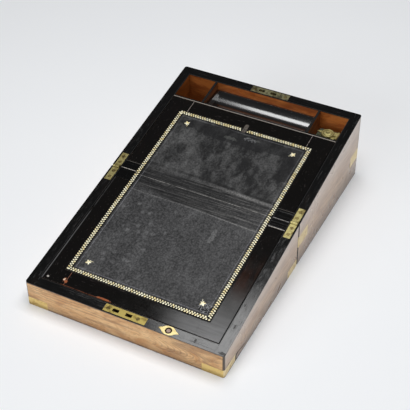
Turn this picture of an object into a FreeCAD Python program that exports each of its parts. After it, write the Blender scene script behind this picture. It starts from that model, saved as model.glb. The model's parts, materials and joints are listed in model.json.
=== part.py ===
"""Travel writing box, open: base and lid form one wedge under one sloping writing surface.

The origin is on the table, under the middle of the hinge line. +X runs to the right along the
hinge line, +Y to the tall far end, +Z up. The lid lies on its outer face at -Y.
"""
import FreeCAD
import Part
import math
import os
import Sketcher

# Driving sizes in millimetres: name, value, what it measures
SIZES = (
    ("box_width", 305.0, "outer width of the case"),
    ("box_depth", 238.0, "outer depth of each half, front face to back face"),
    ("closed_height", 155.0, "outer height of the closed box"),
    ("low_height", 42.0, "outer height at the shallow end of the lid"),
    ("fold_gap", 1.5, "gap between the two front faces when the box is open"),
    ("rim_clearance", 0.2, "depth of each rim below the plane of the hinge axis"),
    ("wall_thickness", 15.0, "side and back walls"),
    ("front_thickness", 17.0, "front walls, under the leather strip"),
    ("floor_thickness", 8.0, "bottom board of the base and top board of the lid"),
    ("rebate_width", 6.0, "how far those boards are let into the walls"),
    ("edge_radius", 3.5, "rounding of the upright edges at the back of each half"),
    ("fold_edge_radius", 1.5, "rounding of the upright edges beside the fold"),
    ("flap_thickness", 9.0, "writing flaps"),
    ("flap_recess", 0.3, "flap and leather surface below the rims"),
    ("flap_gap", 1.3, "clearance round the edges of a flap"),
    ("seat_gap", 0.1, "clearance between a loose piece and what it rests on"),
    ("cleat_width", 35.6, "breadboard cleat at each end of a flap"),
    ("ledge_width", 6.0, "ledge under the side edge of a flap"),
    ("ledge_height", 6.0, "height of that ledge"),
    ("ledge_setback", 5.0, "ledge ends clear of the walls"),
    ("leather_thickness", 0.8, "writing leather"),
    ("leather_margin", 24.2, "bare wood round the leather"),
    ("tab_width", 7.0, "pull tab of the upper flap"),
    ("tab_length", 18.0, "length of the tab"),
    ("tab_thickness", 0.5, "thickness of the tab"),
    ("compartment_depth", 51.0, "clear depth of the pen and ink compartments"),
    ("end_compartment_width", 47.0, "clear width of the two end compartments"),
    ("divider_thickness", 3.5, "dividers between the compartments"),
    ("divider_drop", 0.8, "dividers below the rims"),
    ("partition_lip", 3.0, "lip of the partition behind the flap"),
    ("partition_ledge", 4.0, "step of the partition that carries the flap"),
    ("compartment_floor_height", 32.0, "top of the compartment floor above the table"),
    ("compartment_floor_thickness", 4.0, "compartment floor"),
    ("groove_depth", 3.0, "grooves that hold the compartment floor"),
    ("tray_drop", 14.0, "top of the pen tray below the rim of the back wall"),
    ("tray_thickness", 18.0, "pen tray"),
    ("tray_gap", 0.6, "clearance round the pen tray"),
    ("tray_end", 4.0, "solid end of the pen tray"),
    ("trough_width", 45.0, "mouth of the concave trough"),
    ("trough_depth", 11.0, "depth of the concave trough"),
    ("bearer_width", 6.0, "bearers under the pen tray"),
    ("bearer_height", 6.0, "height of the bearers"),
    ("bottle_width", 38.0, "square glass bottle"),
    ("bottle_height", 51.4, "bottle up to its shoulder"),
    ("bottle_radius", 4.0, "rounding of the bottle's upright edges"),
    ("bottle_base", 6.0, "glass under the ink and over it"),
    ("cavity_radius", 15.0, "ink cavity"),
    ("bore_radius", 5.5, "bore of the neck"),
    ("neck_radius", 8.0, "outside of the neck"),
    ("neck_height", 5.5, "neck above the shoulder"),
    ("collar_thickness", 2.2, "wall of the brass collar"),
    ("collar_height", 7.0, "height of the collar"),
    ("cap_skirt", 2.0, "straight edge of the cap"),
    ("cap_dome", 1.4, "rise of the dome"),
    ("cap_dome_radius", 6.2, "dome inside the ring of the cap"),
    ("cap_ring_radius", 8.3, "raised ring on the cap"),
    ("cap_ring_bead", 0.8, "half the thickness of the ring"),
    ("cap_button_radius", 2.3, "button on the dome"),
    ("cap_button_height", 0.9, "how far the button stands up"),
    ("cap_pad_thickness", 1.2, "sealing pad inside the cap"),
    ("cap_knuckle_width", 4.8, "knuckle of the cap"),
    ("cap_knuckle_radius", 2.0, "knuckles of the inkwell hinge"),
    ("cap_hinge_reach", 5.0, "outside of the collar to the inkwell hinge"),
    ("cap_pin_radius", 0.8, "pin of the inkwell hinge"),
    ("cap_lug_width", 6.4, "each lug of the collar"),
    ("cap_room", 0.15, "clearance in the inkwell hinge and under the cap"),
    ("thumb_length", 7.0, "pointed thumb piece of the cap"),
    ("thumb_width", 10.0, "root of the thumb piece"),
    ("hinge_margin", 2.6, "outer face of the case to the hinge leaf"),
    ("leaf_width", 10.4, "hinge leaf"),
    ("leaf_length", 29.0, "hinge leaf from the axis to its end"),
    ("leaf_thickness", 1.8, "hinge leaf"),
    ("barrel_radius", 2.4, "hinge knuckles"),
    ("barrel_room", 0.4, "clearance round the knuckles"),
    ("knuckle_room", 0.15, "clearance between knuckles"),
    ("pin_radius", 1.2, "hinge pin"),
    ("pin_room", 0.05, "running clearance of a pin in its knuckles"),
    ("first_screw", 10.0, "hinge axis to the first screw"),
    ("second_screw", 22.0, "hinge axis to the second screw"),
    ("screw_head_radius", 2.6, "countersunk head"),
    ("screw_head_height", 1.3, "countersunk head"),
    ("screw_shank_radius", 1.2, "shank"),
    ("screw_length", 9.0, "whole screw"),
    ("screw_slot_width", 0.6, "driver slot"),
    ("screw_slot_depth", 0.5, "driver slot"),
    ("screw_room", 0.05, "clearance round a screw"),
    ("strap_length", 34.0, "arm of a base edge strap"),
    ("strap_height", 20.0, "height of a base edge strap"),
    ("strap_level", 32.5, "table to the lower edge of a strap"),
    ("brass_thickness", 1.2, "straps, corners and keyhole plate"),
    ("corner_length", 33.0, "arm of a lid corner piece"),
    ("corner_height", 14.0, "height of a lid corner piece"),
    ("lock_offset", 2.0, "lock plates to the right of the middle"),
    ("lock_plate_length", 64.0, "selvedge and strike plates"),
    ("lock_plate_width", 12.0, "selvedge and strike plates"),
    ("lock_plate_thickness", 1.5, "selvedge and strike plates"),
    ("lock_screw_inset", 6.0, "plate end to its screw"),
    ("strike_screw_inset", 12.5, "right end of the strike plate to its screw"),
    ("hook_spacing", 20.0, "between the two hooks"),
    ("hook_offset", -4.5, "middle of the hooks from the middle of the plate"),
    ("hook_width", 7.0, "hook along the rim"),
    ("hook_thickness", 2.0, "hook across the rim"),
    ("hook_beak_height", 1.4, "beak of a hook"),
    ("hook_beak_drop", 1.0, "beak below the top of its hook"),
    ("hook_height", 15.0, "hook above its bar"),
    ("hook_bar_height", 6.0, "bar that joins the hooks"),
    ("hook_travel", 7.0, "rise of the hook bolt"),
    ("plate_slot_length", 9.5, "slot of a lock plate"),
    ("plate_slot_width", 4.6, "slot of a lock plate"),
    ("strike_room", 4.0, "pocket behind a strike slot beyond the raised hook"),
    ("lock_case_length", 46.0, "lock case along the wall"),
    ("lock_case_width", 9.0, "lock case across the wall"),
    ("lock_case_height", 30.0, "lock case"),
    ("case_wall", 1.0, "sheet of the lock cases"),
    ("key_level", 8.0, "key hole above the bottom of the case"),
    ("key_radius", 3.0, "round part of the key hole"),
    ("key_slot_width", 2.4, "bit slot of the key hole"),
    ("key_slot_length", 6.0, "bit slot below the key hole's centre"),
    ("key_pin_radius", 1.2, "drill pin of the lock"),
    ("key_plate_radius", 10.0, "keyhole plate on the back"),
    ("flap_lock_inset", 85.0, "right face of the case to the flap lock"),
    ("flap_lock_width", 14.0, "plate across the rim"),
    ("flap_lock_length", 31.0, "plate from ear to ear"),
    ("flap_lock_ear", 5.2, "width of an ear at its root"),
    ("flap_lock_body", 20.0, "plate between the roots of its ears"),
    ("flap_key_radius", 4.8, "round key hole"),
    ("flap_pin_radius", 2.9, "drill pin"),
    ("flap_case_length", 32.0, "flap lock case along the wall"),
    ("flap_case_depth", 12.0, "flap lock case into the wall"),
    ("flap_case_height", 18.0, "flap lock case"),
    ("flap_bolt_place", -9.0, "bolt from the middle of the flap lock"),
    ("flap_bolt_width", 8.0, "bolt"),
    ("flap_bolt_thickness", 2.0, "bolt"),
    ("flap_bolt_travel", 4.0, "throw of the bolt"),
    ("bolt_room", 0.8, "clearance of the bolt in the flap"),
    ("slide_room", 0.2, "clearance of a bolt in its case"),
)


class Size:
    """A length with its present value and the sheet formula that gives it."""

    def __init__(self, value, formula):
        self.value = value
        self.formula = formula

    def __add__(self, other):
        other = as_size(other)
        return Size(self.value + other.value, f"({self.formula} + {other.formula})")

    def __sub__(self, other):
        other = as_size(other)
        return Size(self.value - other.value, f"({self.formula} - {other.formula})")

    def __mul__(self, other):
        other = as_size(other)
        return Size(self.value * other.value, f"({self.formula} * {other.formula})")

    def __truediv__(self, other):
        other = as_size(other)
        return Size(self.value / other.value, f"({self.formula} / {other.formula})")

    def __neg__(self):
        return self * -1


def as_size(number):
    """Take a plain number or a Size and give a Size."""
    if isinstance(number, Size):
        return number
    return Size(float(number), f"({float(number)})")


doc = FreeCAD.newDocument("TravelWritingBox")
sheet = doc.addObject("Spreadsheet::Sheet", "Sizes")
size = {}
for row, (name, value, meaning) in enumerate(SIZES, start=1):
    sheet.set(f"A{row}", name)
    sheet.set(f"B{row}", str(value))
    sheet.set(f"C{row}", meaning)
    sheet.setAlias(f"B{row}", name)
    size[name] = Size(value, f"Sizes.{name}")
doc.recompute()

ZERO = as_size(0)
TOLERANCE = 1e-4
SCREW_TURN = 35
LEFT, RIGHT = -1, 1
BASE, LID = 1, -1
X_AXIS = FreeCAD.Vector(1, 0, 0)
Y_AXIS = FreeCAD.Vector(0, 1, 0)
Z_AXIS = FreeCAD.Vector(0, 0, 1)
ALONG_X = FreeCAD.Rotation(Y_AXIS, 90)
ALONG_Y = FreeCAD.Rotation(X_AXIS, -90)
nodes = {}

# Shared places worked out from the driving sizes
half_width = size["box_width"] / 2
inner_half = half_width - size["wall_thickness"]
front_face = size["fold_gap"] / 2
front_inner = front_face + size["front_thickness"]
back_face = front_face + size["box_depth"]
back_inner = back_face - size["wall_thickness"]
hinge_height = size["closed_height"] / 2
rise = (hinge_height - size["low_height"]) / back_face
slope = Size(math.degrees(math.atan(rise.value)), f"atan({rise.formula})")
slope_cos = Size(math.cos(math.atan(rise.value)), f"cos(atan({rise.formula}))")
slope_sin = Size(math.sin(math.atan(rise.value)), f"sin(atan({rise.formula}))")
rim_level = -size["rim_clearance"]
flap_level = rim_level - size["flap_recess"]
flap_under = flap_level - size["flap_thickness"]
ledge_level = flap_under - size["seat_gap"]
rim_middle = back_face - size["wall_thickness"] / 2
partition_back = back_inner - size["compartment_depth"]
partition_step = partition_back - size["partition_lip"]
partition_front = partition_step - size["partition_ledge"]
divider_inner = inner_half - size["end_compartment_width"] - size["divider_thickness"]
compartment_floor_under = size["compartment_floor_height"] - size["compartment_floor_thickness"]
flap_half = inner_half - size["flap_gap"]
leather_half = flap_half - size["leather_margin"]


def height_at(y, level):
    """Height above the table at y of a plane that lies level away from the hinge plane."""
    return hinge_height + rise * y + level / slope_cos


def slope_place(y, level):
    """Distance along the slope from the hinge axis of the point at y on that plane."""
    return (as_size(y) + level * slope_sin) / slope_cos


tray_top = height_at(back_inner, rim_level) - size["tray_drop"]


# Building blocks
def bind(item, path, length):
    """Tie one property of an item to the sheet."""
    item.setExpression(path, as_size(length).formula)


def place(item, x, y, z, turn=None, tilted=False):
    """Put an item at x, y, z, or where tilted at x, along the slope and away from it."""
    if tilted:
        turn = FreeCAD.Rotation(X_AXIS, slope.value)
        y, z = y * slope_cos - z * slope_sin, hinge_height + y * slope_sin + z * slope_cos
    item.Placement = FreeCAD.Placement(FreeCAD.Vector(0, 0, 0), turn or FreeCAD.Rotation())
    bind(item, "Placement.Base.x", x)
    bind(item, "Placement.Base.y", y)
    bind(item, "Placement.Base.z", z)
    if tilted:
        bind(item, "Placement.Rotation.Angle", slope)


def new_body(label, on_slope=False):
    """Start a piece, in the case's frame or in the frame of the sloping surface."""
    body = doc.addObject("PartDesign::Body", label)
    body.Label = label
    place(body, ZERO, ZERO, ZERO, tilted=on_slope)
    nodes[label] = body
    return body


def group(label, members, on_slope=False):
    """Like pieces, each a separate solid, in one node."""
    compound = doc.addObject("Part::Compound", label)
    compound.Label = label
    compound.Links = members
    place(compound, ZERO, ZERO, ZERO, tilted=on_slope)
    nodes[label] = compound


def ordered(first, second):
    """Give two places from low to high."""
    first = as_size(first)
    second = as_size(second)
    if first.value <= second.value:
        return first, second
    return second, first


def box(body, action, x_span, y_span, z_span, tilted=False):
    """Add or subtract a block between the given pairs of places."""
    block = body.newObject(f"PartDesign::{action}Box", "Block")
    lows = []
    for path, span in (("Length", x_span), ("Width", y_span), ("Height", z_span)):
        low, high = ordered(*span)
        lows.append(low)
        bind(block, path, high - low)
    place(block, *lows, tilted=tilted)


def cylinder(body, action, radius, length, x, y, z, turn=None, tilted=False):
    """Add or subtract a round bar that starts at x, y, z."""
    bar = body.newObject(f"PartDesign::{action}Cylinder", "Round")
    bind(bar, "Radius", radius)
    bind(bar, "Height", length)
    place(bar, x, y, z, turn=turn, tilted=tilted)


def cone(body, action, low_radius, high_radius, height, x, y, z):
    """Add or subtract an upright cone."""
    taper = body.newObject(f"PartDesign::{action}Cone", "Taper")
    bind(taper, "Radius1", low_radius)
    bind(taper, "Radius2", high_radius)
    bind(taper, "Height", height)
    place(taper, x, y, z)


def outline(body, plane, points, start):
    """Draw a closed outline of straight edges, each corner tied to the sheet."""
    sketch = body.newObject("Sketcher::SketchObject", "Outline")
    origin_planes = {feature.Role: feature for feature in body.Origin.OriginFeatures}
    sketch.AttachmentSupport = (origin_planes[plane], [""])
    sketch.MapMode = "FlatFace"
    bind(sketch, "AttachmentOffset.Base.z", start)
    corners = [(as_size(u), as_size(v)) for u, v in points]
    count = len(corners)
    for index, (u, v) in enumerate(corners):
        next_u, next_v = corners[(index + 1) % count]
        start_point = FreeCAD.Vector(u.value, v.value, 0)
        end_point = FreeCAD.Vector(next_u.value, next_v.value, 0)
        sketch.addGeometry(Part.LineSegment(start_point, end_point), False)
    for index in range(count):
        sketch.addConstraint(Sketcher.Constraint("Coincident", index, 2, (index + 1) % count, 1))
    for index, corner in enumerate(corners):
        for kind, length in zip(("DistanceX", "DistanceY"), corner):
            number = sketch.addConstraint(Sketcher.Constraint(kind, index, 1, length.value))
            bind(sketch, f"Constraints[{number}]", length)
    return sketch


def slab(body, points, x_span):
    """Pad an outline drawn in the Y-Z plane from one side to the other."""
    low, high = ordered(*x_span)
    pad = body.newObject("PartDesign::Pad", "Slab")
    pad.Profile = outline(body, "YZ_Plane", points, low)
    bind(pad, "Length", high - low)


def plate(body, points, low, high):
    """Pad an outline drawn in the X-Y plane from low to high."""
    pad = body.newObject("PartDesign::Pad", "Plate")
    pad.Profile = outline(body, "XY_Plane", points, low)
    bind(pad, "Length", high - low)


def round_edges(body, radius, picks):
    """Round the edges that picks chooses."""
    doc.recompute()
    last = body.Tip
    chosen = [f"Edge{index}" for index, edge in enumerate(last.Shape.Edges, start=1) if picks(edge)]
    fillet = body.newObject("PartDesign::Fillet", "Rounding")
    fillet.Base = (last, chosen)
    bind(fillet, "Radius", radius)


def upright_at(x, y):
    """Choose the upright edges that stand at x, y."""
    x = as_size(x).value
    y = as_size(y).value

    def picks(edge):
        ends = edge.Vertexes
        beside = all(abs(end.X - x) < TOLERANCE and abs(end.Y - y) < TOLERANCE for end in ends)
        return beside and len(ends) == 2

    return picks


def any_of(*choices):
    """Choose an edge that any of the choices takes."""
    return lambda edge: any(picks(edge) for picks in choices)


# Brass straps and corner pieces
def angle_spans(side, corner_y, inward, arm, thickness, low, high):
    """The two arms that wrap an upright edge, as x, y and z spans."""
    outer = half_width * side
    across = (outer, outer - arm * side)
    along = (corner_y, corner_y + arm * inward)
    return (
        ((outer, outer - thickness * side), along, (low, high)),
        (across, (corner_y, corner_y + thickness * inward), (low, high)),
    )


def strap_spans(side, corner_y, inward):
    """An edge strap of the base."""
    low = size["strap_level"]
    high = low + size["strap_height"]
    return angle_spans(side, corner_y, inward, size["strap_length"], size["brass_thickness"], low, high)


def corner_spans(side, corner_y, inward):
    """A corner piece of the lid: two arms and the flange on the lid's outer face."""
    arm = size["corner_length"]
    thin = size["brass_thickness"]
    flange = size["wall_thickness"] - size["rebate_width"]
    arms = angle_spans(side, corner_y, inward, arm, thin, ZERO, size["corner_height"])
    return arms + angle_spans(side, corner_y, inward, arm, flange, ZERO, thin)


def brass_angle(label, spans, side, corner_y, radius):
    """Build one strap or corner piece."""
    body = new_body(label)
    for span in spans:
        box(body, "Additive", *span)
    round_edges(body, radius, upright_at(half_width * side, corner_y))


def case_corners(half):
    """The four upright edges of one half: name, side, place, inward direction and rounding."""
    for side, side_name in ((LEFT, "left"), (RIGHT, "right")):
        yield f"front_{side_name}", side, front_face * half, half, size["fold_edge_radius"]
        yield f"back_{side_name}", side, back_face * half, -half, size["edge_radius"]


def inlay_spans(half):
    """All the brass let into the outside of one half."""
    spans = strap_spans if half == BASE else corner_spans
    for name, side, corner_y, inward, radius in case_corners(half):
        yield from spans(side, corner_y, inward)


def cut_inlays(body, half, side=None):
    """Let the outside brass of one half, or of one side of it, into a wall."""
    for x_span, y_span, z_span in inlay_spans(half):
        if side is None or x_span[0].value * side > 0:
            box(body, "Subtractive", x_span, y_span, z_span)


# Screws
def screw(x, y, turn):
    """A countersunk brass screw with its head flush with the rim."""
    body = doc.addObject("PartDesign::Body", "Screw")
    head = size["screw_head_height"]
    shank = size["screw_shank_radius"]
    cone(body, "Additive", shank, size["screw_head_radius"], head, ZERO, ZERO, -head)
    cylinder(body, "Additive", shank, size["screw_length"] - head, ZERO, ZERO, -size["screw_length"])
    half_slot = size["screw_slot_width"] / 2
    half_head = size["screw_head_radius"]
    slot_y = (-half_slot, half_slot)
    box(body, "Subtractive", (-half_head, half_head), slot_y, (-size["screw_slot_depth"], ZERO))
    place(body, x, y, rim_level, turn=FreeCAD.Rotation(Z_AXIS, turn))
    return body


def screw_seat(body, x, y):
    """Countersink a plate that lies on the slope for a screw."""
    room = size["screw_room"]
    head = size["screw_head_height"]
    shank = size["screw_shank_radius"] + room
    top = size["screw_head_radius"] + room
    cone(body, "Subtractive", shank, top, head, x, y, rim_level - head)
    cylinder(body, "Subtractive", shank, size["screw_length"], x, y, rim_level - size["screw_length"])


def screw_bore(wall, x, y):
    """Bore a wall for a screw."""
    depth = size["screw_length"] + size["screw_room"]
    radius = size["screw_shank_radius"] + size["screw_room"]
    cylinder(wall, "Subtractive", radius, depth, x, y, rim_level - depth, tilted=True)


# Hinges
def leaf_span(side):
    """Hinge leaf across the rim."""
    outer = half_width - size["hinge_margin"]
    return ordered(outer * side, (outer - size["leaf_width"]) * side)


def leaf_screws(side, half):
    """Screws of one hinge leaf."""
    low, high = leaf_span(side)
    middle = (low + high) / 2
    return [(middle, size[name] * half) for name in ("first_screw", "second_screw")]


def hinge_leaf(label, side, half):
    """A hinge leaf with its knuckles: two on the base, one between them on the lid."""
    body = new_body(label, on_slope=True)
    low, high = leaf_span(side)
    third = size["leaf_width"] / 3
    room = size["knuckle_room"]
    outer_knuckles = ((low, low + third), (high - third, high))
    middle_knuckle = ((low + third, high - third),)
    own, other = (outer_knuckles, middle_knuckle) if half == BASE else (middle_knuckle, outer_knuckles)
    under = rim_level - size["leaf_thickness"]
    box(body, "Additive", (low, high), (ZERO, size["leaf_length"] * half), (under, rim_level))
    clear = (size["barrel_radius"] + size["barrel_room"]) * half
    for start, end in other:
        box(body, "Subtractive", (start - room, end + room), (ZERO, clear), (under, rim_level))
    for start, end in own:
        cylinder(body, "Additive", size["barrel_radius"], end - start, start, ZERO, ZERO, turn=ALONG_X)
    bore = size["pin_radius"] + size["pin_room"]
    cylinder(body, "Subtractive", bore, size["leaf_width"], low, ZERO, ZERO, turn=ALONG_X)
    for x, y in leaf_screws(side, half):
        screw_seat(body, x, y)


def hinge_pin(side):
    """The pin of one hinge."""
    pin = doc.addObject("Part::Cylinder", "Pin")
    bind(pin, "Radius", size["pin_radius"])
    bind(pin, "Height", size["leaf_width"])
    place(pin, leaf_span(side)[0], ZERO, ZERO, turn=ALONG_X)
    return pin


# Lock places
lock_x = size["lock_offset"]
hook_places = [lock_x + size["hook_offset"] + size["hook_spacing"] * share for share in (-0.5, 0.5)]
lock_plate_half = size["lock_plate_length"] / 2
lock_plate_under = rim_level - size["lock_plate_thickness"]
lock_case_front = rim_middle - size["lock_case_width"] / 2
lock_case_back = rim_middle + size["lock_case_width"] / 2
lock_case_top = height_at(lock_case_front, lock_plate_under)
lock_case_bottom = lock_case_top - size["lock_case_height"]
lock_case_half = size["lock_case_length"] / 2
key_height = lock_case_bottom + size["key_level"]
flap_lock_x = half_width - size["flap_lock_inset"]
flap_case_half = size["flap_case_length"] / 2
flap_case_face = -back_inner
flap_case_end = flap_case_face - size["flap_case_depth"]
flap_case_top = height_at(flap_case_end, lock_plate_under)
flap_case_bottom = flap_case_top - size["flap_case_height"]
flap_bolt_x = flap_lock_x + size["flap_bolt_place"]
flap_bolt_top = flap_case_top - size["case_wall"] - size["slide_room"]
flap_bolt_under = flap_bolt_top - size["flap_bolt_thickness"]


def plate_middle(half):
    """Middle of the back rim along the slope."""
    return slope_place(rim_middle * half, rim_level)


def lock_plate_blank(body, half, action, top):
    """The outline of a lock plate, added on the slope or cut into a wall."""
    middle = plate_middle(half)
    half_plate = size["lock_plate_width"] / 2
    ends = (lock_x - lock_plate_half, lock_x + lock_plate_half)
    edges = (middle - half_plate, middle + half_plate)
    box(body, action, ends, edges, (lock_plate_under, top), tilted=action == "Subtractive")


def lock_screw_places(half):
    """Screws of the selvedge plate, or of the strike plate, along the rim."""
    right_inset = size["lock_screw_inset"] if half == BASE else size["strike_screw_inset"]
    left = lock_x - lock_plate_half + size["lock_screw_inset"]
    return [left, lock_x + lock_plate_half - right_inset]


def lock_plate(label, half):
    """Selvedge plate of the lock, or the strike plate that meets it."""
    body = new_body(label, on_slope=True)
    middle = plate_middle(half)
    lock_plate_blank(body, half, "Additive", rim_level)
    slot = size["plate_slot_length"] / 2
    slot_width = size["plate_slot_width"] / 2
    for x in hook_places:
        across = (middle - slot_width, middle + slot_width)
        box(body, "Subtractive", (x - slot, x + slot), across, (lock_plate_under, rim_level))
    for x in lock_screw_places(half):
        screw_seat(body, x, middle)


def flap_lock_ears(low, high):
    """Pointed outline from ear to ear of the flap lock's plate."""
    middle = plate_middle(LID)
    reach = size["flap_lock_length"] / 2
    root = size["flap_lock_ear"] / 2
    body = size["flap_lock_body"] / 2
    tall = size["flap_lock_width"] / 2
    upper = (
        (reach, ZERO),
        (body, root),
        (body * 0.7, tall * 0.78),
        (body * 0.32, tall),
        (body * -0.32, tall),
        (body * -0.7, tall * 0.78),
        (body * -1, root),
    )
    corners = [(flap_lock_x + along, middle + across) for along, across in upper]
    corners += [(flap_lock_x - along, middle - across) for along, across in upper]
    return corners, low, high


def flap_lock_key_y():
    """Key hole of the flap lock, across the wall."""
    return -rim_middle


# Walls
def side_wall(label, side, half):
    """A side wall: a tapering board as deep as its half."""
    body = new_body(label)
    front = front_face * half
    back = back_face * half
    corners = (
        (front, ZERO),
        (back, ZERO),
        (back, height_at(back, rim_level)),
        (front, height_at(front, rim_level)),
    )
    outer = half_width * side
    inner = inner_half * side
    slab(body, corners, (inner, outer))
    round_edges(body, size["fold_edge_radius"], upright_at(outer, front))
    round_edges(body, size["edge_radius"], upright_at(outer, back))
    rebate = size["rebate_width"]
    board_y = ((front_inner - rebate) * half, (back_inner + rebate) * half)
    box(body, "Subtractive", (inner, inner + rebate * side), board_y, (ZERO, size["floor_thickness"]))
    cut_inlays(body, half, side)
    low, high = leaf_span(side)
    leaf_y = (ZERO, size["leaf_length"] * half)
    under = rim_level - size["leaf_thickness"]
    box(body, "Subtractive", (low, high), leaf_y, (under, ZERO), tilted=True)
    room = size["barrel_room"]
    relief = size["barrel_radius"] + room
    length = high - low + room * 2
    cylinder(body, "Subtractive", relief, length, low - room, ZERO, hinge_height, turn=ALONG_X)
    for x, y in leaf_screws(side, half):
        screw_bore(body, x, y)


def front_wall(label, half):
    """A front wall, lower than the rims by the leather that covers it."""
    body = new_body(label)
    front = front_face * half
    inner = front_inner * half
    step = (front_inner - size["rebate_width"]) * half
    board = size["floor_thickness"]
    level = flap_level - size["leather_thickness"]
    corners = (
        (front, ZERO),
        (step, ZERO),
        (step, board),
        (inner, board),
        (inner, height_at(inner, level)),
        (front, height_at(front, level)),
    )
    slab(body, corners, (-inner_half, inner_half))
    cut_inlays(body, half)


def base_back_wall(label):
    """The tall back wall, mortised for the lock and grooved for the compartment floor."""
    body = new_body(label)
    step = back_inner + size["rebate_width"]
    groove = back_inner + size["groove_depth"]
    board = size["floor_thickness"]
    corners = (
        (back_face, ZERO),
        (step, ZERO),
        (step, board),
        (back_inner, board),
        (back_inner, compartment_floor_under),
        (groove, compartment_floor_under),
        (groove, size["compartment_floor_height"]),
        (back_inner, size["compartment_floor_height"]),
        (back_inner, height_at(back_inner, rim_level)),
        (back_face, height_at(back_face, rim_level)),
    )
    slab(body, corners, (-inner_half, inner_half))
    cut_inlays(body, BASE)
    case_x = (lock_x - lock_case_half, lock_x + lock_case_half)
    above = height_at(back_face, ZERO)
    box(body, "Subtractive", case_x, (lock_case_front, lock_case_back), (lock_case_bottom, above))
    lock_plate_blank(body, BASE, "Subtractive", ZERO)
    for x in lock_screw_places(BASE):
        screw_bore(body, x, plate_middle(BASE))
    cut_keyhole(body, rim_middle, back_face)
    thin = size["brass_thickness"]
    seat = back_face - thin
    cylinder(body, "Subtractive", size["key_plate_radius"], thin, lock_x, seat, key_height, turn=ALONG_Y)


def lid_back_wall(label):
    """The low back wall of the lid, mortised for the strike plate and the flap lock."""
    body = new_body(label)
    outer = -back_face
    inner = -back_inner
    step = inner - size["rebate_width"]
    board = size["floor_thickness"]
    corners = (
        (outer, ZERO),
        (step, ZERO),
        (step, board),
        (inner, board),
        (inner, height_at(inner, rim_level)),
        (outer, height_at(outer, rim_level)),
    )
    slab(body, corners, (-inner_half, inner_half))
    cut_inlays(body, LID)
    middle = plate_middle(LID)
    lock_plate_blank(body, LID, "Subtractive", ZERO)
    slot = size["plate_slot_length"] / 2
    wide = size["plate_slot_width"]
    pocket_z = (rim_level - size["hook_travel"] - size["strike_room"], ZERO)
    for x in hook_places:
        box(body, "Subtractive", (x - slot, x + slot), (middle - wide, middle + wide), pocket_z, tilted=True)
    for x in lock_screw_places(LID):
        screw_bore(body, x, middle)
    case_x = (flap_lock_x - flap_case_half, flap_lock_x + flap_case_half)
    box(body, "Subtractive", case_x, (flap_case_end, flap_case_face), (flap_case_bottom, flap_case_top))
    ear_pocket(body, lock_plate_under)
    key_depth = height_at(inner, ZERO) - flap_case_top
    key_radius = size["flap_key_radius"]
    cylinder(body, "Subtractive", key_radius, key_depth, flap_lock_x, flap_lock_key_y(), flap_case_top)


def ear_pocket(body, low):
    """Let the ears of the flap lock's plate into the rim."""
    corners, low, high = flap_lock_ears(low, ZERO)
    sketch = outline(body, "XY_Plane", corners, ZERO)
    sketch.AttachmentOffset = FreeCAD.Placement(
        FreeCAD.Vector(0, 0, 0), FreeCAD.Rotation(X_AXIS, slope.value)
    )
    bind(sketch, "AttachmentOffset.Base.z", hinge_height)
    bind(sketch, "AttachmentOffset.Rotation.Angle", slope)
    pocket = body.newObject("PartDesign::Pocket", "EarPocket")
    pocket.Profile = sketch
    bind(pocket, "Length", high - low)


def cut_keyhole(body, start, end):
    """Cut the key hole of the lock between two places across the wall."""
    length = end - start
    cylinder(body, "Subtractive", size["key_radius"], length, lock_x, start, key_height, turn=ALONG_Y)
    bit = size["key_slot_width"] / 2
    drop = key_height - size["key_slot_length"]
    box(body, "Subtractive", (lock_x - bit, lock_x + bit), (start, end), (drop, key_height))


def floor_board(label, half):
    """Bottom board of the base or top board of the lid, let into the four walls."""
    body = new_body(label)
    rebate = size["rebate_width"]
    wide = inner_half + rebate
    y_span = ((front_inner - rebate) * half, (back_inner + rebate) * half)
    box(body, "Additive", (-wide, wide), y_span, (ZERO, size["floor_thickness"]))


# Compartments of the base
def partition(label):
    """The board in front of the compartments, stepped to carry the flap."""
    body = new_body(label)
    groove = partition_back - size["groove_depth"]
    board = size["floor_thickness"]
    corners = (
        (partition_front, board),
        (partition_back, board),
        (partition_back, compartment_floor_under),
        (groove, compartment_floor_under),
        (groove, size["compartment_floor_height"]),
        (partition_back, size["compartment_floor_height"]),
        (partition_back, height_at(partition_back, rim_level)),
        (partition_step, height_at(partition_step, rim_level)),
        (partition_step, height_at(partition_step, ledge_level)),
        (partition_front, height_at(partition_front, ledge_level)),
    )
    slab(body, corners, (-inner_half, inner_half))


def compartment_floor(label):
    """The raised floor, held in grooves in front and behind."""
    body = new_body(label)
    groove = size["groove_depth"]
    y_span = (partition_back - groove, back_inner + groove)
    z_span = (compartment_floor_under, size["compartment_floor_height"])
    box(body, "Additive", (-inner_half, inner_half), y_span, z_span)


def divider(label, side):
    """A thin divider between two compartments."""
    body = new_body(label)
    foot = size["compartment_floor_height"]
    level = rim_level - size["divider_drop"]
    corners = (
        (partition_back, foot),
        (back_inner, foot),
        (back_inner, height_at(back_inner, level)),
        (partition_back, height_at(partition_back, level)),
    )
    slab(body, corners, (divider_inner * side, (divider_inner + size["divider_thickness"]) * side))


def strip(x_span, y_span, z_span):
    """A plain strip of wood between pairs of places."""
    piece = doc.addObject("Part::Box", "Strip")
    lows = []
    for path, span in (("Length", x_span), ("Width", y_span), ("Height", z_span)):
        low, high = ordered(*span)
        lows.append(low)
        bind(piece, path, high - low)
    place(piece, *lows)
    return piece


def tray_bearer(side):
    """A strip on a divider that carries one end of the pen tray."""
    top = tray_top - size["tray_thickness"] - size["seat_gap"]
    x_span = (divider_inner * side, (divider_inner - size["bearer_width"]) * side)
    return strip(x_span, (partition_back, back_inner), (top - size["bearer_height"], top))


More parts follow.
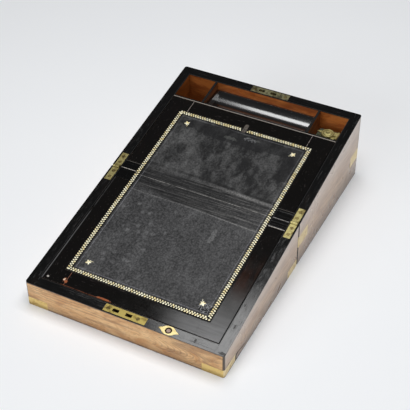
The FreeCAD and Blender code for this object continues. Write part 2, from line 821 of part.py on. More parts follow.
def pen_tray(label):
    """The lift-out tray with a concave trough."""
    body = new_body(label)
    gap = size["tray_gap"]
    long = divider_inner - gap
    top = tray_top
    y_span = (partition_back + gap, back_inner - gap)
    box(body, "Additive", (-long, long), y_span, (top - size["tray_thickness"], top))
    half_mouth = size["trough_width"] / 2
    depth = size["trough_depth"]
    radius = (half_mouth * half_mouth + depth * depth) / (depth * 2)
    middle = (partition_back + back_inner) / 2
    start = size["tray_end"] - long
    length = (long - size["tray_end"]) * 2
    cylinder(body, "Subtractive", radius, length, start, middle, top - depth + radius, turn=ALONG_X)


def flap_ledge(side, half):
    """A ledge on a side wall under the edge of a flap."""
    setback = size["ledge_setback"]
    far = partition_front if half == BASE else back_inner
    y_span = ((front_inner + setback) * half, (far - setback) * half)
    x_span = (inner_half * side, (inner_half - size["ledge_width"]) * side)
    return strip(x_span, y_span, (ledge_level - size["ledge_height"], ledge_level))


# Writing flaps
def flap_spans(half):
    """Hinge end and free end of a flap along the slope, at its top face."""
    gap = size["flap_gap"] * half
    hinge_end = slope_place(front_inner * half, flap_level) + gap
    free_edge = partition_step if half == BASE else back_inner
    free_end = slope_place(free_edge * half, flap_level) - gap
    return hinge_end, free_end


def flap_board(label, half, x_span):
    """The middle board of a flap or a cleat, with its recess for the leather."""
    body = new_body(label, on_slope=True)
    hinge_end, free_end = flap_spans(half)
    lean = -size["flap_thickness"] * rise
    free_lean = lean if half == BASE else ZERO
    corners = (
        (hinge_end, flap_level),
        (free_end, flap_level),
        (free_end + free_lean, flap_under),
        (hinge_end + lean, flap_under),
    )
    slab(body, corners, x_span)
    leather_y = (hinge_end, free_end - size["leather_margin"] * half)
    leather_z = (flap_level - size["leather_thickness"], flap_level)
    box(body, "Subtractive", (-leather_half, leather_half), leather_y, leather_z)
    return body


def cut_bolt_mortise(body):
    """Cut the free edge of the lower flap for the bolt of its lock."""
    room = size["bolt_room"]
    reach = size["flap_bolt_travel"] + room
    hinge_end, free_end = flap_spans(LID)
    bolt_middle = (flap_bolt_top + flap_bolt_under) / 2
    tip = flap_case_face + size["flap_bolt_travel"] / 2
    level = (bolt_middle - height_at(tip, ZERO)) * slope_cos
    half_height = size["flap_bolt_thickness"] / 2 + room
    half_wide = size["flap_bolt_width"] / 2 + room
    x_span = (flap_bolt_x - half_wide, flap_bolt_x + half_wide)
    box(body, "Subtractive", x_span, (free_end, free_end + reach), (level - half_height, level + half_height))


def flap_leather(label, half):
    """The writing leather in its recess."""
    body = new_body(label, on_slope=True)
    hinge_end, free_end = flap_spans(half)
    y_span = (hinge_end, free_end - size["leather_margin"] * half)
    z_span = (flap_level - size["leather_thickness"], flap_level)
    box(body, "Additive", (-leather_half, leather_half), y_span, z_span)


def hinge_leather(label, half):
    """The leather strip over a front wall, up to the fold."""
    body = new_body(label, on_slope=True)
    y_span = (slope_place(front_face * half, flap_level), slope_place(front_inner * half, flap_level))
    z_span = (flap_level - size["leather_thickness"], flap_level)
    box(body, "Additive", (-inner_half, inner_half), y_span, z_span)


def pull_tab(label):
    """The tab at the free end of the upper leather."""
    body = new_body(label, on_slope=True)
    hinge_end, free_end = flap_spans(BASE)
    edge = free_end - size["leather_margin"]
    half_tab = size["tab_width"] / 2
    y_span = (edge - size["tab_length"] / 2, edge + size["tab_length"] / 2)
    z_span = (flap_level, flap_level + size["tab_thickness"])
    box(body, "Additive", (-half_tab, half_tab), y_span, z_span)


# Lock
def lock_case(label):
    """The open-topped case in the back wall, with its key hole."""
    body = new_body(label)
    sheet_wall = size["case_wall"]
    x_span = (lock_x - lock_case_half, lock_x + lock_case_half)
    box(body, "Additive", x_span, (lock_case_front, lock_case_back), (lock_case_bottom, lock_case_top))
    inside_x = (x_span[0] + sheet_wall, x_span[1] - sheet_wall)
    inside_y = (lock_case_front + sheet_wall, lock_case_back - sheet_wall)
    box(body, "Subtractive", inside_x, inside_y, (lock_case_bottom + sheet_wall, lock_case_top))
    cut_keyhole(body, rim_middle, lock_case_back)


def lock_drill_pin(label):
    """The pin that a pipe key turns on."""
    body = new_body(label)
    start = lock_case_front + size["case_wall"]
    length = back_face - size["brass_thickness"] - start
    cylinder(body, "Additive", size["key_pin_radius"], length, lock_x, start, key_height, turn=ALONG_Y)


def lock_hook_bolt(label):
    """Two hooks on one bar, drawn down inside the case."""
    body = new_body(label)
    half_thick = size["hook_thickness"] / 2
    half_hook = size["hook_width"] / 2
    across = (rim_middle - half_thick, rim_middle + half_thick)
    tip = height_at(rim_middle, rim_level) - size["slide_room"] * 2
    bar_top = tip - size["hook_height"]
    ends = (hook_places[0] - half_hook, hook_places[1] + half_hook)
    box(body, "Additive", ends, across, (bar_top - size["hook_bar_height"], bar_top))
    beak_top = tip - size["hook_beak_drop"]
    beak_under = beak_top - size["hook_beak_height"]
    for x in hook_places:
        box(body, "Additive", (x - half_hook, x), across, (bar_top, tip))
        box(body, "Additive", (x, x + half_hook), across, (beak_under, beak_top))


def keyhole_plate(label):
    """The round plate over the key hole, flush with the back."""
    body = new_body(label)
    thin = size["brass_thickness"]
    seat = back_face - thin
    cylinder(body, "Additive", size["key_plate_radius"], thin, lock_x, seat, key_height, turn=ALONG_Y)
    cut_keyhole(body, seat, back_face)


# Flap lock
def flap_lock_plate(label):
    """The pointed plate round the key hole in the near rim."""
    body = new_body(label, on_slope=True)
    middle = plate_middle(LID)
    plate(body, *flap_lock_ears(lock_plate_under, rim_level))
    thickness = size["lock_plate_thickness"]
    hole = size["flap_key_radius"]
    cylinder(body, "Subtractive", hole, thickness, flap_lock_x, middle, lock_plate_under)


def flap_lock_case(label):
    """The case let into the inner face of the lid's back wall."""
    body = new_body(label)
    sheet_wall = size["case_wall"]
    x_span = (flap_lock_x - flap_case_half, flap_lock_x + flap_case_half)
    box(body, "Additive", x_span, (flap_case_end, flap_case_face), (flap_case_bottom, flap_case_top))
    inside_x = (x_span[0] + sheet_wall, x_span[1] - sheet_wall)
    inside_y = (flap_case_end + sheet_wall, flap_case_face - sheet_wall)
    box(body, "Subtractive", inside_x, inside_y, (flap_case_bottom + sheet_wall, flap_case_top - sheet_wall))
    half_wide = size["flap_bolt_width"] / 2 + size["slide_room"]
    mouth_x = (flap_bolt_x - half_wide, flap_bolt_x + half_wide)
    mouth_z = (flap_bolt_under - size["slide_room"], flap_bolt_top + size["slide_room"])
    box(body, "Subtractive", mouth_x, (flap_case_face - sheet_wall, flap_case_face), mouth_z)
    top = flap_case_top - sheet_wall
    hole = size["flap_key_radius"]
    cylinder(body, "Subtractive", hole, sheet_wall, flap_lock_x, flap_lock_key_y(), top)


def flap_lock_pin(label):
    """The pin in the middle of the flap lock's key hole."""
    body = new_body(label)
    foot = flap_case_bottom + size["case_wall"]
    length = height_at(flap_lock_key_y(), rim_level - size["slide_room"]) - foot
    cylinder(body, "Additive", size["flap_pin_radius"], length, flap_lock_x, flap_lock_key_y(), foot)


def flap_lock_bolt(label):
    """The bolt, drawn back flush with its case."""
    body = new_body(label)
    half_wide = size["flap_bolt_width"] / 2
    y_span = (flap_case_end + size["case_wall"] + size["slide_room"], flap_case_face - size["slide_room"])
    x_span = (flap_bolt_x - half_wide, flap_bolt_x + half_wide)
    box(body, "Additive", x_span, y_span, (flap_bolt_under, flap_bolt_top))


# Inkwell, built about the bottle's axis
ink_x = inner_half - size["end_compartment_width"] / 2
ink_y = (partition_back + back_inner) / 2
ink_z = size["compartment_floor_height"] + size["seat_gap"]
collar_radius = size["neck_radius"] + size["collar_thickness"]
collar_top = size["bottle_height"] + size["collar_height"]
cap_under = collar_top + size["cap_room"]
cap_axis = collar_radius + size["cap_hinge_reach"]
half_knuckle = size["cap_knuckle_width"] / 2
lug_start = half_knuckle + size["cap_room"]
lug_end = lug_start + size["cap_lug_width"]


def ink_body(label):
    """A piece of the inkwell."""
    body = new_body(label)
    place(body, ink_x, ink_y, ink_z)
    return body


def inkwell_bottle(label):
    """The square glass bottle with its round cavity and neck."""
    body = ink_body(label)
    half_bottle = size["bottle_width"] / 2
    span = (-half_bottle, half_bottle)
    shoulder = size["bottle_height"]
    box(body, "Additive", span, span, (ZERO, shoulder))
    corners = [upright_at(half_bottle * sx, half_bottle * sy) for sx in (-1, 1) for sy in (-1, 1)]
    round_edges(body, size["bottle_radius"], any_of(*corners))
    cylinder(body, "Additive", size["neck_radius"], size["neck_height"], ZERO, ZERO, shoulder)
    base = size["bottle_base"]
    cylinder(body, "Subtractive", size["cavity_radius"], shoulder - base * 2, ZERO, ZERO, base)
    bore = base + size["neck_height"]
    cylinder(body, "Subtractive", size["bore_radius"], bore, ZERO, ZERO, shoulder - base)


def inkwell_collar(label):
    """The brass collar on the neck, with two hinge lugs."""
    body = ink_body(label)
    height = size["collar_height"]
    shoulder = size["bottle_height"]
    cylinder(body, "Additive", collar_radius, height, ZERO, ZERO, shoulder)
    radius = size["cap_knuckle_radius"]
    for start, end in ((lug_start, lug_end), (-lug_end, -lug_start)):
        lug_x = (collar_radius - size["collar_thickness"], cap_axis)
        box(body, "Additive", lug_x, (start, end), (collar_top - radius * 2, collar_top))
        cylinder(body, "Additive", radius, end - start, cap_axis, start, collar_top, turn=ALONG_Y)
    bore = size["neck_radius"] + size["pin_room"]
    cylinder(body, "Subtractive", bore, height, ZERO, ZERO, shoulder)
    hole = size["cap_pin_radius"] + size["pin_room"]
    cylinder(body, "Subtractive", hole, lug_end * 2, cap_axis, -lug_end, collar_top, turn=ALONG_Y)


def inkwell_cap(label):
    """The cap with its ring, low dome, button, thumb piece and knuckle."""
    body = ink_body(label)
    skirt = size["cap_skirt"]
    cylinder(body, "Additive", collar_radius, skirt, ZERO, ZERO, cap_under)
    dome = body.newObject("PartDesign::AdditiveEllipsoid", "Dome")
    bind(dome, "Radius1", size["cap_dome"])
    bind(dome, "Radius2", size["cap_dome_radius"])
    bind(dome, "Radius3", size["cap_dome_radius"])
    dome.Angle1 = 0
    place(dome, ZERO, ZERO, cap_under + skirt)
    ring = body.newObject("PartDesign::AdditiveTorus", "Ring")
    bind(ring, "Radius1", size["cap_ring_radius"])
    bind(ring, "Radius2", size["cap_ring_bead"])
    place(ring, ZERO, ZERO, cap_under + skirt)
    button_foot = cap_under + skirt + size["cap_dome"] / 2
    button = size["cap_dome"] / 2 + size["cap_button_height"]
    cylinder(body, "Additive", size["cap_button_radius"], button, ZERO, ZERO, button_foot)
    root = size["thumb_width"] / 2
    tip = -collar_radius - size["thumb_length"]
    thumb = ((ZERO, -root), (tip, ZERO), (ZERO, root))
    plate(body, thumb, cap_under, cap_under + skirt)
    knuckle_y = (-half_knuckle, half_knuckle)
    knuckle_x = (collar_radius - size["collar_thickness"], cap_axis)
    radius = size["cap_knuckle_radius"]
    box(body, "Additive", knuckle_x, knuckle_y, (cap_under, collar_top + radius))
    width = size["cap_knuckle_width"]
    cylinder(body, "Additive", radius, width, cap_axis, -half_knuckle, collar_top, turn=ALONG_Y)
    hole = size["cap_pin_radius"] + size["pin_room"]
    cylinder(body, "Subtractive", hole, width, cap_axis, -half_knuckle, collar_top, turn=ALONG_Y)


def inkwell_cap_pad(label):
    """The pad under the cap that seals the neck."""
    body = ink_body(label)
    radius = (size["bore_radius"] + size["neck_radius"]) / 2
    thickness = size["cap_pad_thickness"]
    cylinder(body, "Additive", radius, thickness, ZERO, ZERO, cap_under - thickness)


def inkwell_pin(label):
    """The pin of the inkwell hinge."""
    body = ink_body(label)
    radius = size["cap_pin_radius"]
    cylinder(body, "Additive", radius, lug_end * 2, cap_axis, -lug_end, collar_top, turn=ALONG_Y)


# Assembly
for half, name in ((BASE, "base"), (LID, "lid")):
    floor_board("base_bottom_board" if half == BASE else "lid_top_board", half)
    front_wall(f"{name}_front_wall", half)
    for side, side_name in ((LEFT, "left"), (RIGHT, "right")):
        side_wall(f"{name}_{side_name}_wall", side, half)
        hinge_leaf(f"{name}_{side_name}_hinge_leaf", side, half)
    group(f"{name}_flap_ledges", [flap_ledge(side, half) for side in (LEFT, RIGHT)], on_slope=True)
    hinge_leather(f"{name}_hinge_leather", half)
    screw_places = leaf_screws(LEFT, half) + leaf_screws(RIGHT, half)
    screw_places += [(x, plate_middle(half)) for x in lock_screw_places(half)]
    screws = [screw(x, y, SCREW_TURN * turn) for turn, (x, y) in enumerate(screw_places, start=1)]
    group(f"{name}_brass_screws", screws, on_slope=True)
    for corner, side, corner_y, inward, radius in case_corners(half):
        if half == BASE:
            brass_angle(f"base_strap_{corner}", strap_spans(side, corner_y, inward), side, corner_y, radius)
        else:
            brass_angle(f"lid_corner_{corner}", corner_spans(side, corner_y, inward), side, corner_y, radius)

for half, name in ((BASE, "upper"), (LID, "lower")):
    board_half = flap_half - size["cleat_width"]
    middle_board = flap_board(f"{name}_flap_board", half, (-board_half, board_half))
    if half == LID:
        cut_bolt_mortise(middle_board)
    flap_board(f"{name}_flap_left_cleat", half, (-flap_half, -board_half))
    flap_board(f"{name}_flap_right_cleat", half, (board_half, flap_half))
    flap_leather(f"{name}_writing_leather", half)
pull_tab("pull_tab")

group("hinge_pins", [hinge_pin(side) for side in (LEFT, RIGHT)], on_slope=True)
base_back_wall("base_back_wall")
lid_back_wall("lid_back_wall")
partition("compartment_partition")
compartment_floor("compartment_floor")
for side, side_name in ((LEFT, "left"), (RIGHT, "right")):
    divider(f"{side_name}_divider", side)
group("tray_bearers", [tray_bearer(side) for side in (LEFT, RIGHT)])
pen_tray("pen_tray")

lock_plate("lock_selvedge_plate", BASE)
lock_plate("strike_plate", LID)
lock_case("lock_case")
lock_drill_pin("lock_drill_pin")
lock_hook_bolt("lock_hook_bolt")
keyhole_plate("keyhole_plate")
flap_lock_plate("flap_lock_plate")
flap_lock_case("flap_lock_case")
flap_lock_pin("flap_lock_pin")
flap_lock_bolt("flap_lock_bolt")

inkwell_bottle("inkwell_bottle")
inkwell_collar("inkwell_collar")
inkwell_cap("inkwell_cap")
inkwell_cap_pad("inkwell_cap_pad")
inkwell_pin("inkwell_pin")

# Every object has to be sound before anything is written
doc.recompute()
for item in doc.Objects:
    if "Invalid" in item.State or "Error" in item.State:
        raise RuntimeError(f"{item.Label} failed: {item.State}")
for label, node in nodes.items():
    if node.Shape.isNull() or not node.Shape.isValid():
        raise RuntimeError(f"{label} has no valid shape")

os.makedirs("parts", exist_ok=True)
for label, node in nodes.items():
    node.Shape.exportStep(f"parts/{label}.step")
print(f"{len(nodes)} pieces written")
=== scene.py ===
"""Looks of an open travel writing box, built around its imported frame.

The part's frame has +X along the hinge line, +Y to the tall end and +Z up. Most places are given on the
writing slope instead: x, then s, the distance from the hinge line up the slope, then n, the height above
the sloping plane through the hinge axis. Lengths are in millimetres, which MM turns into metres, and the
scales of noise are per metre.
"""
import json
import math
import random

import bmesh
import bpy
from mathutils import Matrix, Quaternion, Vector, noise


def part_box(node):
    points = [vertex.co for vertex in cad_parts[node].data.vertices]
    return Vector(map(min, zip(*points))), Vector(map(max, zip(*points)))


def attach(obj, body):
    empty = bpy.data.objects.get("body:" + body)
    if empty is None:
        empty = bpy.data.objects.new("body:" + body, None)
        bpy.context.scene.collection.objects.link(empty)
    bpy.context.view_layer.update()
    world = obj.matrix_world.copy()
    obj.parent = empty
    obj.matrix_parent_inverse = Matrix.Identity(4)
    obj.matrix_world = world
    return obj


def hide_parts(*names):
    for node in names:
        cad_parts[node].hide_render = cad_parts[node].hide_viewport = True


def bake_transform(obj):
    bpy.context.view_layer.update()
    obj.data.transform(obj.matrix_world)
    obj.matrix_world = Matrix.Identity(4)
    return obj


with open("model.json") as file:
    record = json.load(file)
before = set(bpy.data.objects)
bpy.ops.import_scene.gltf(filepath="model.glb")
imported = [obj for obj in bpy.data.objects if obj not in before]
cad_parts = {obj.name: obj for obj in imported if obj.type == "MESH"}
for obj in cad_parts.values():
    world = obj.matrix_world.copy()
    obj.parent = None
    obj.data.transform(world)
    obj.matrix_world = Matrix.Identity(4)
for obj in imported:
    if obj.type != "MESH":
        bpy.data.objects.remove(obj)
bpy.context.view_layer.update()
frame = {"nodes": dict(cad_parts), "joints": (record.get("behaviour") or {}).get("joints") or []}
nodes = frame["nodes"]
draw = random.Random(1875)
MM = 0.001

# The slope, from the hinge axis and the rims of the two halves

hinge_height = next(j for j in frame["joints"] if j["name"] == "lid_fold")["pos_m"][2] / MM
far_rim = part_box("base_left_wall")[1]
near_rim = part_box("lid_back_wall")[1]
slope = math.atan2(far_rim.z - near_rim.z, far_rim.y - near_rim.y)
slope_cos = math.cos(slope)
slope_sin = math.sin(slope)


def on_slope(x, s, n):
    """A point of the slope as a point of the part's frame, in metres."""
    y = s * slope_cos - n * slope_sin
    z = hinge_height + s * slope_sin + n * slope_cos
    return Vector((x * MM, y * MM, z * MM))


def slope_span(node):
    """Lowest and highest x, s and n of a node."""
    found = []
    for vertex in nodes[node].data.vertices:
        x, y, z = (value / MM for value in vertex.co)
        rise = z - hinge_height
        found.append((x, y * slope_cos + rise * slope_sin, rise * slope_cos - y * slope_sin))
    return [(min(values), max(values)) for values in zip(*found)]


upper_leather = slope_span("upper_writing_leather")
lower_leather = slope_span("lower_writing_leather")
base_strip = slope_span("base_hinge_leather")
upper_board = slope_span("upper_flap_board")
tab_room = slope_span("pull_tab")
ink_x, ink_y, _ = (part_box("inkwell_bottle")[0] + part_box("inkwell_bottle")[1]) / (2 * MM)

leather_half = upper_leather[0][1]
leather_far = upper_leather[1][1]
leather_near = lower_leather[1][0]
leather_level = upper_leather[2][1]
leather_depth = leather_level - upper_leather[2][0]
strip_half = base_strip[0][1]
upper_crease = base_strip[1][1]
lower_crease = slope_span("lid_hinge_leather")[1][0]
cleat_joint = upper_board[0][1]
near_edge = slope_span("lower_flap_board")[1][0]
flap_edge = slope_span("lower_flap_right_cleat")[0][1]
flap_gap = 1.3
lip_front = upper_board[1][1] + flap_gap
wall_inside = -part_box("base_left_wall")[1].x / MM
front_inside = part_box("base_front_wall")[1].y / MM
back_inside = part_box("base_back_wall")[0].y / MM
back_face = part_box("base_back_wall")[1].y / MM
blind_inset = 11
blind_half = leather_half - blind_inset
blind_far = leather_far - blind_inset
blind_near = leather_near + blind_inset


# Materials are put together from outputs of nodes, with arithmetic on them

def tone(red, green, blue):
    """A colour given as 0 to 255 display values."""
    linear = []
    for value in (red, green, blue):
        share = value / 255
        linear.append(share / 12.92 if share <= 0.04045 else ((share + 0.055) / 1.055) ** 2.4)
    return (*linear, 1.0)


class Value:
    """A number that an output of a node gives. A sign between two adds a node, and | takes the larger."""

    def __init__(self, paint, socket):
        self.paint = paint
        self.socket = socket

    def __add__(self, other):
        return self.paint.math("ADD", self, other)

    def __sub__(self, other):
        return self.paint.math("SUBTRACT", self, other)

    def __rsub__(self, other):
        return self.paint.math("SUBTRACT", other, self)

    def __mul__(self, other):
        return self.paint.math("MULTIPLY", self, other)

    def __truediv__(self, other):
        return self.paint.math("DIVIDE", self, other)

    def __or__(self, other):
        return self.paint.math("MAXIMUM", self, other)

    def __abs__(self):
        return self.paint.math("ABSOLUTE", self)

    def ramp(self, low, high, start=0.0, end=1.0):
        """A smooth step from start to end as the value goes from low to high."""
        node = self.paint.add("ShaderNodeMapRange", interpolation_type="SMOOTHSTEP")
        for socket, given in zip(node.inputs, (self, low, high, start, end)):
            self.paint.feed(socket, given)
        return Value(self.paint, node.outputs[0])

    def fall(self, low, high):
        """1 up to low and 0 from high on."""
        return self.ramp(low, high, 1.0, 0.0)

    def line(self, place, half_width, soft=0.15):
        """1 where the value is within half_width of the place."""
        return abs(self - place).fall(half_width, half_width + soft)

    def between(self, low, high, soft=0.3):
        """1 where the value is from low to high."""
        return self.line((low + high) / 2, (high - low) / 2, soft)

    def blend(self, first, second):
        """The first number where this value is 0, the second where it is 1."""
        node = self.paint.add("ShaderNodeMix", data_type="FLOAT")
        for index, given in ((0, self), (2, first), (3, second)):
            self.paint.feed(node.inputs[index], given)
        return Value(self.paint, node.outputs[0])


def either(first, *others):
    """The largest of several values."""
    for other in others:
        first = first | other
    return first


def length(across, along):
    """The distance that two values at right angles make."""
    return across.paint.math("SQRT", across * across + along * along)


class Paint:
    """A material in the making."""

    def __init__(self, name, attribute=None):
        self.material = bpy.data.materials.new(name)
        self.material.use_nodes = True
        self.tree = self.material.node_tree
        if attribute:
            self.place = self.add("ShaderNodeAttribute", attribute_name=attribute).outputs["Vector"]
            slope_place = self.place
        else:
            self.place = self.add("ShaderNodeTexCoord").outputs["Object"]
            turned = self.add("ShaderNodeMapping")
            self.feed(turned.inputs["Vector"], self.place)
            turned.inputs["Rotation"].default_value = (-slope, 0, 0)
            lowered = -hinge_height * MM
            turned.inputs["Location"].default_value = (0, lowered * slope_sin, lowered * slope_cos)
            slope_place = turned.outputs["Vector"]
        self.x, self.s, self.n = self.split(slope_place, 1 / MM)
        self.colour = None

    def add(self, kind, **settings):
        node = self.tree.nodes.new(kind)
        for key, value in settings.items():
            setattr(node, key, value)
        return node

    def feed(self, socket, value):
        """Give a socket a plain value or the output of a node."""
        if isinstance(value, Value):
            value = value.socket
        if isinstance(value, bpy.types.NodeSocket):
            self.tree.links.new(value, socket)
        else:
            socket.default_value = value

    def split(self, vector, factor=1.0):
        """The three parts of a vector, times a factor."""
        scaled = self.add("ShaderNodeVectorMath", operation="SCALE")
        self.feed(scaled.inputs[0], vector)
        scaled.inputs["Scale"].default_value = factor
        node = self.add("ShaderNodeSeparateXYZ")
        self.feed(node.inputs[0], scaled.outputs[0])
        return [Value(self, output) for output in node.outputs]

    def frame_place(self):
        """The part's own x, y and z."""
        return self.split(self.place, 1 / MM)

    def facing(self):
        """How far the surface faces along x, y and z, either way."""
        normal = self.add("ShaderNodeTexCoord").outputs["Normal"]
        return [abs(part) for part in self.split(normal)]

    def math(self, operation, *values):
        node = self.add("ShaderNodeMath", operation=operation)
        for socket, value in zip(node.inputs, values):
            self.feed(socket, value)
        return Value(self, node.outputs[0])

    def texture(self, kind, output, stretch, **values):
        """A number from a texture, over the piece's place or over that place stretched."""
        node = self.add(kind)
        place = self.place
        if stretch:
            mapping = self.add("ShaderNodeMapping")
            self.feed(mapping.inputs["Vector"], place)
            mapping.inputs["Scale"].default_value = stretch
            place = mapping.outputs["Vector"]
        self.feed(node.inputs["Vector"], place)
        for key, value in values.items():
            node.inputs[key].default_value = value
        return Value(self, node.outputs[output])

    def noise(self, scale, stretch=None, detail=3, roughness=0.55, distortion=0.0):
        return self.texture("ShaderNodeTexNoise", "Fac", stretch, Scale=scale, Detail=detail,
                            Roughness=roughness, Distortion=distortion)

    def cells(self, scale, stretch=None):
        return self.texture("ShaderNodeTexVoronoi", "Distance", stretch, Scale=scale)

    def mix(self, share, first, second):
        """A colour between two, each an output or a tone of three numbers."""
        node = self.add("ShaderNodeMix", data_type="RGBA")
        self.feed(node.inputs[0], share)
        for index, colour in ((6, first), (7, second)):
            self.feed(node.inputs[index], tone(*colour) if isinstance(colour, tuple) else colour)
        return node.outputs[2]

    def cover(self, share, colour):
        """Lay a colour over what is there."""
        self.colour = self.mix(share, self.colour, colour)

    def spot(self, x, s, reach_x, reach_s, ragged=0.5, scale=900):
        """1 inside a ragged patch of the slope about x and s."""
        across, along = (self.x - x) / reach_x, (self.s - s) / reach_s
        away = across * across + along * along
        return (away + (self.noise(scale) - 0.5) * (3 * ragged)).fall(0.7, 1.0)

    def spots(self, rows, ragged, scale):
        """1 inside any of several such patches."""
        return either(*(self.spot(*row, ragged, scale) for row in rows))

    def soft_edge(self, radius):
        """The normal of the surface with its edges rounded."""
        node = self.add("ShaderNodeBevel", samples=6)
        node.inputs["Radius"].default_value = radius * MM
        return node.outputs["Normal"]

    def edges(self, radius):
        """1 along the sharp edges of the piece, fading out over the radius."""
        facing = self.add("ShaderNodeNewGeometry").outputs["Normal"]
        node = self.add("ShaderNodeVectorMath", operation="DOT_PRODUCT")
        self.feed(node.inputs[0], facing)
        self.feed(node.inputs[1], self.soft_edge(radius))
        return (1.0 - Value(self, node.outputs["Value"])).ramp(0.03, 0.22)

    def done(self, roughness, height=None, depth=0.1, strength=0.5, edge=0.0, **values):
        """Finish the material. The other values are numbers of the shader, the same all over."""
        inputs = self.tree.nodes["Principled BSDF"].inputs
        self.feed(inputs["Base Color"], self.colour)
        self.feed(inputs["Roughness"], roughness)
        for key, value in values.items():
            inputs[key.replace("_", " ")].default_value = value
        normal = self.soft_edge(edge) if edge else None
        if height is not None:
            bump = self.add("ShaderNodeBump")
            bump.inputs["Strength"].default_value = strength
            bump.inputs["Distance"].default_value = depth * MM
            self.feed(bump.inputs["Height"], height)
            if normal:
                self.feed(bump.inputs["Normal"], normal)
            normal = bump.outputs["Normal"]
        if normal:
            self.feed(inputs["Normal"], normal)
        return self.material


# Woods: a palette is the light, middle and dark wood and its pores

ALONG_X = (0.1, 1.0, 1.0)
ALONG_Y = (1.0, 0.1, 1.0)
END_WALNUT = ((238, 194, 136), (202, 147, 86), (122, 80, 44), (84, 52, 34))
# The sides' walnut is paler and greyer than the ends': its tones hold part of a painted sheen.
SIDE_WALNUT_WITH_SHEEN = ((218, 184, 150), (194, 157, 124), (144, 106, 82), (104, 74, 58))
CASE_MAHOGANY = ((204, 122, 58), (160, 84, 36), (104, 54, 24), (72, 37, 17))
MAHOGANY = ((146, 86, 44), (110, 60, 29), (70, 37, 20), (46, 25, 15))
PARTITION = ((132, 76, 40), (100, 54, 27), (64, 34, 19), (46, 25, 15))
# Ledges under the flaps' gaps are painted near black, as shade in those gaps.
LEDGE_SHADE_DARK = ((44, 30, 23), (32, 22, 18), (20, 15, 13), (46, 25, 15))
RIM_NICKS = ((107.3, -234.1, 1.6, 3.2), (144.4, -193.5, 1.2, 4.5), (142, -157, 1, 3),
             (148.5, -238, 5.5, 2.6), (60, -226.5, 5, 0.7), (146, -120, 0.8, 2.4))
SPLINTER_Y, SPLINTER_Z = -199, 5
ARCH_Z, ARCH_PITCH = 19, 9


def loosened(grain, factor):
    """A grain with its long direction stretched less."""
    return tuple(share * factor if share < 1 else share for share in grain)


def wood_colours(paint, grain, palette, swirl=0.35, streak=0.5, pore_share=0.5):
    """Figured wood: growth rings, streaks along the grain and dashed pores. Gives colour and pore mask."""
    light, middle, dark, pore = palette
    ground = paint.noise(34, grain, detail=2, roughness=0.5, distortion=0.4)
    rings = paint.math("SINE", ground * 60)
    mottle = paint.noise(62, loosened(grain, 4), detail=5, roughness=0.65, distortion=0.9)
    streaks = paint.noise(240, grain, detail=5, roughness=0.7, distortion=1.0)
    pores = paint.noise(820, loosened(grain, 1.6), detail=2).ramp(0.58, 0.66) * pore_share
    colour = paint.mix(mottle.ramp(0.34, 0.66), light, middle)
    colour = paint.mix(rings.ramp(0.2, 0.95, 0.0, swirl), colour, dark)
    colour = paint.mix(streaks.ramp(0.5, 0.7, 0.0, streak), colour, dark)
    return paint.mix(pores, colour, pore), pores


def ebonised_colour(paint, grain):
    """Black stained wood with a faint brown streak in it."""
    streaks = paint.noise(160, grain, detail=4)
    return paint.mix(streaks.ramp(0.5, 0.8, 0.0, 0.6), (8, 8, 8), (26, 18, 15))


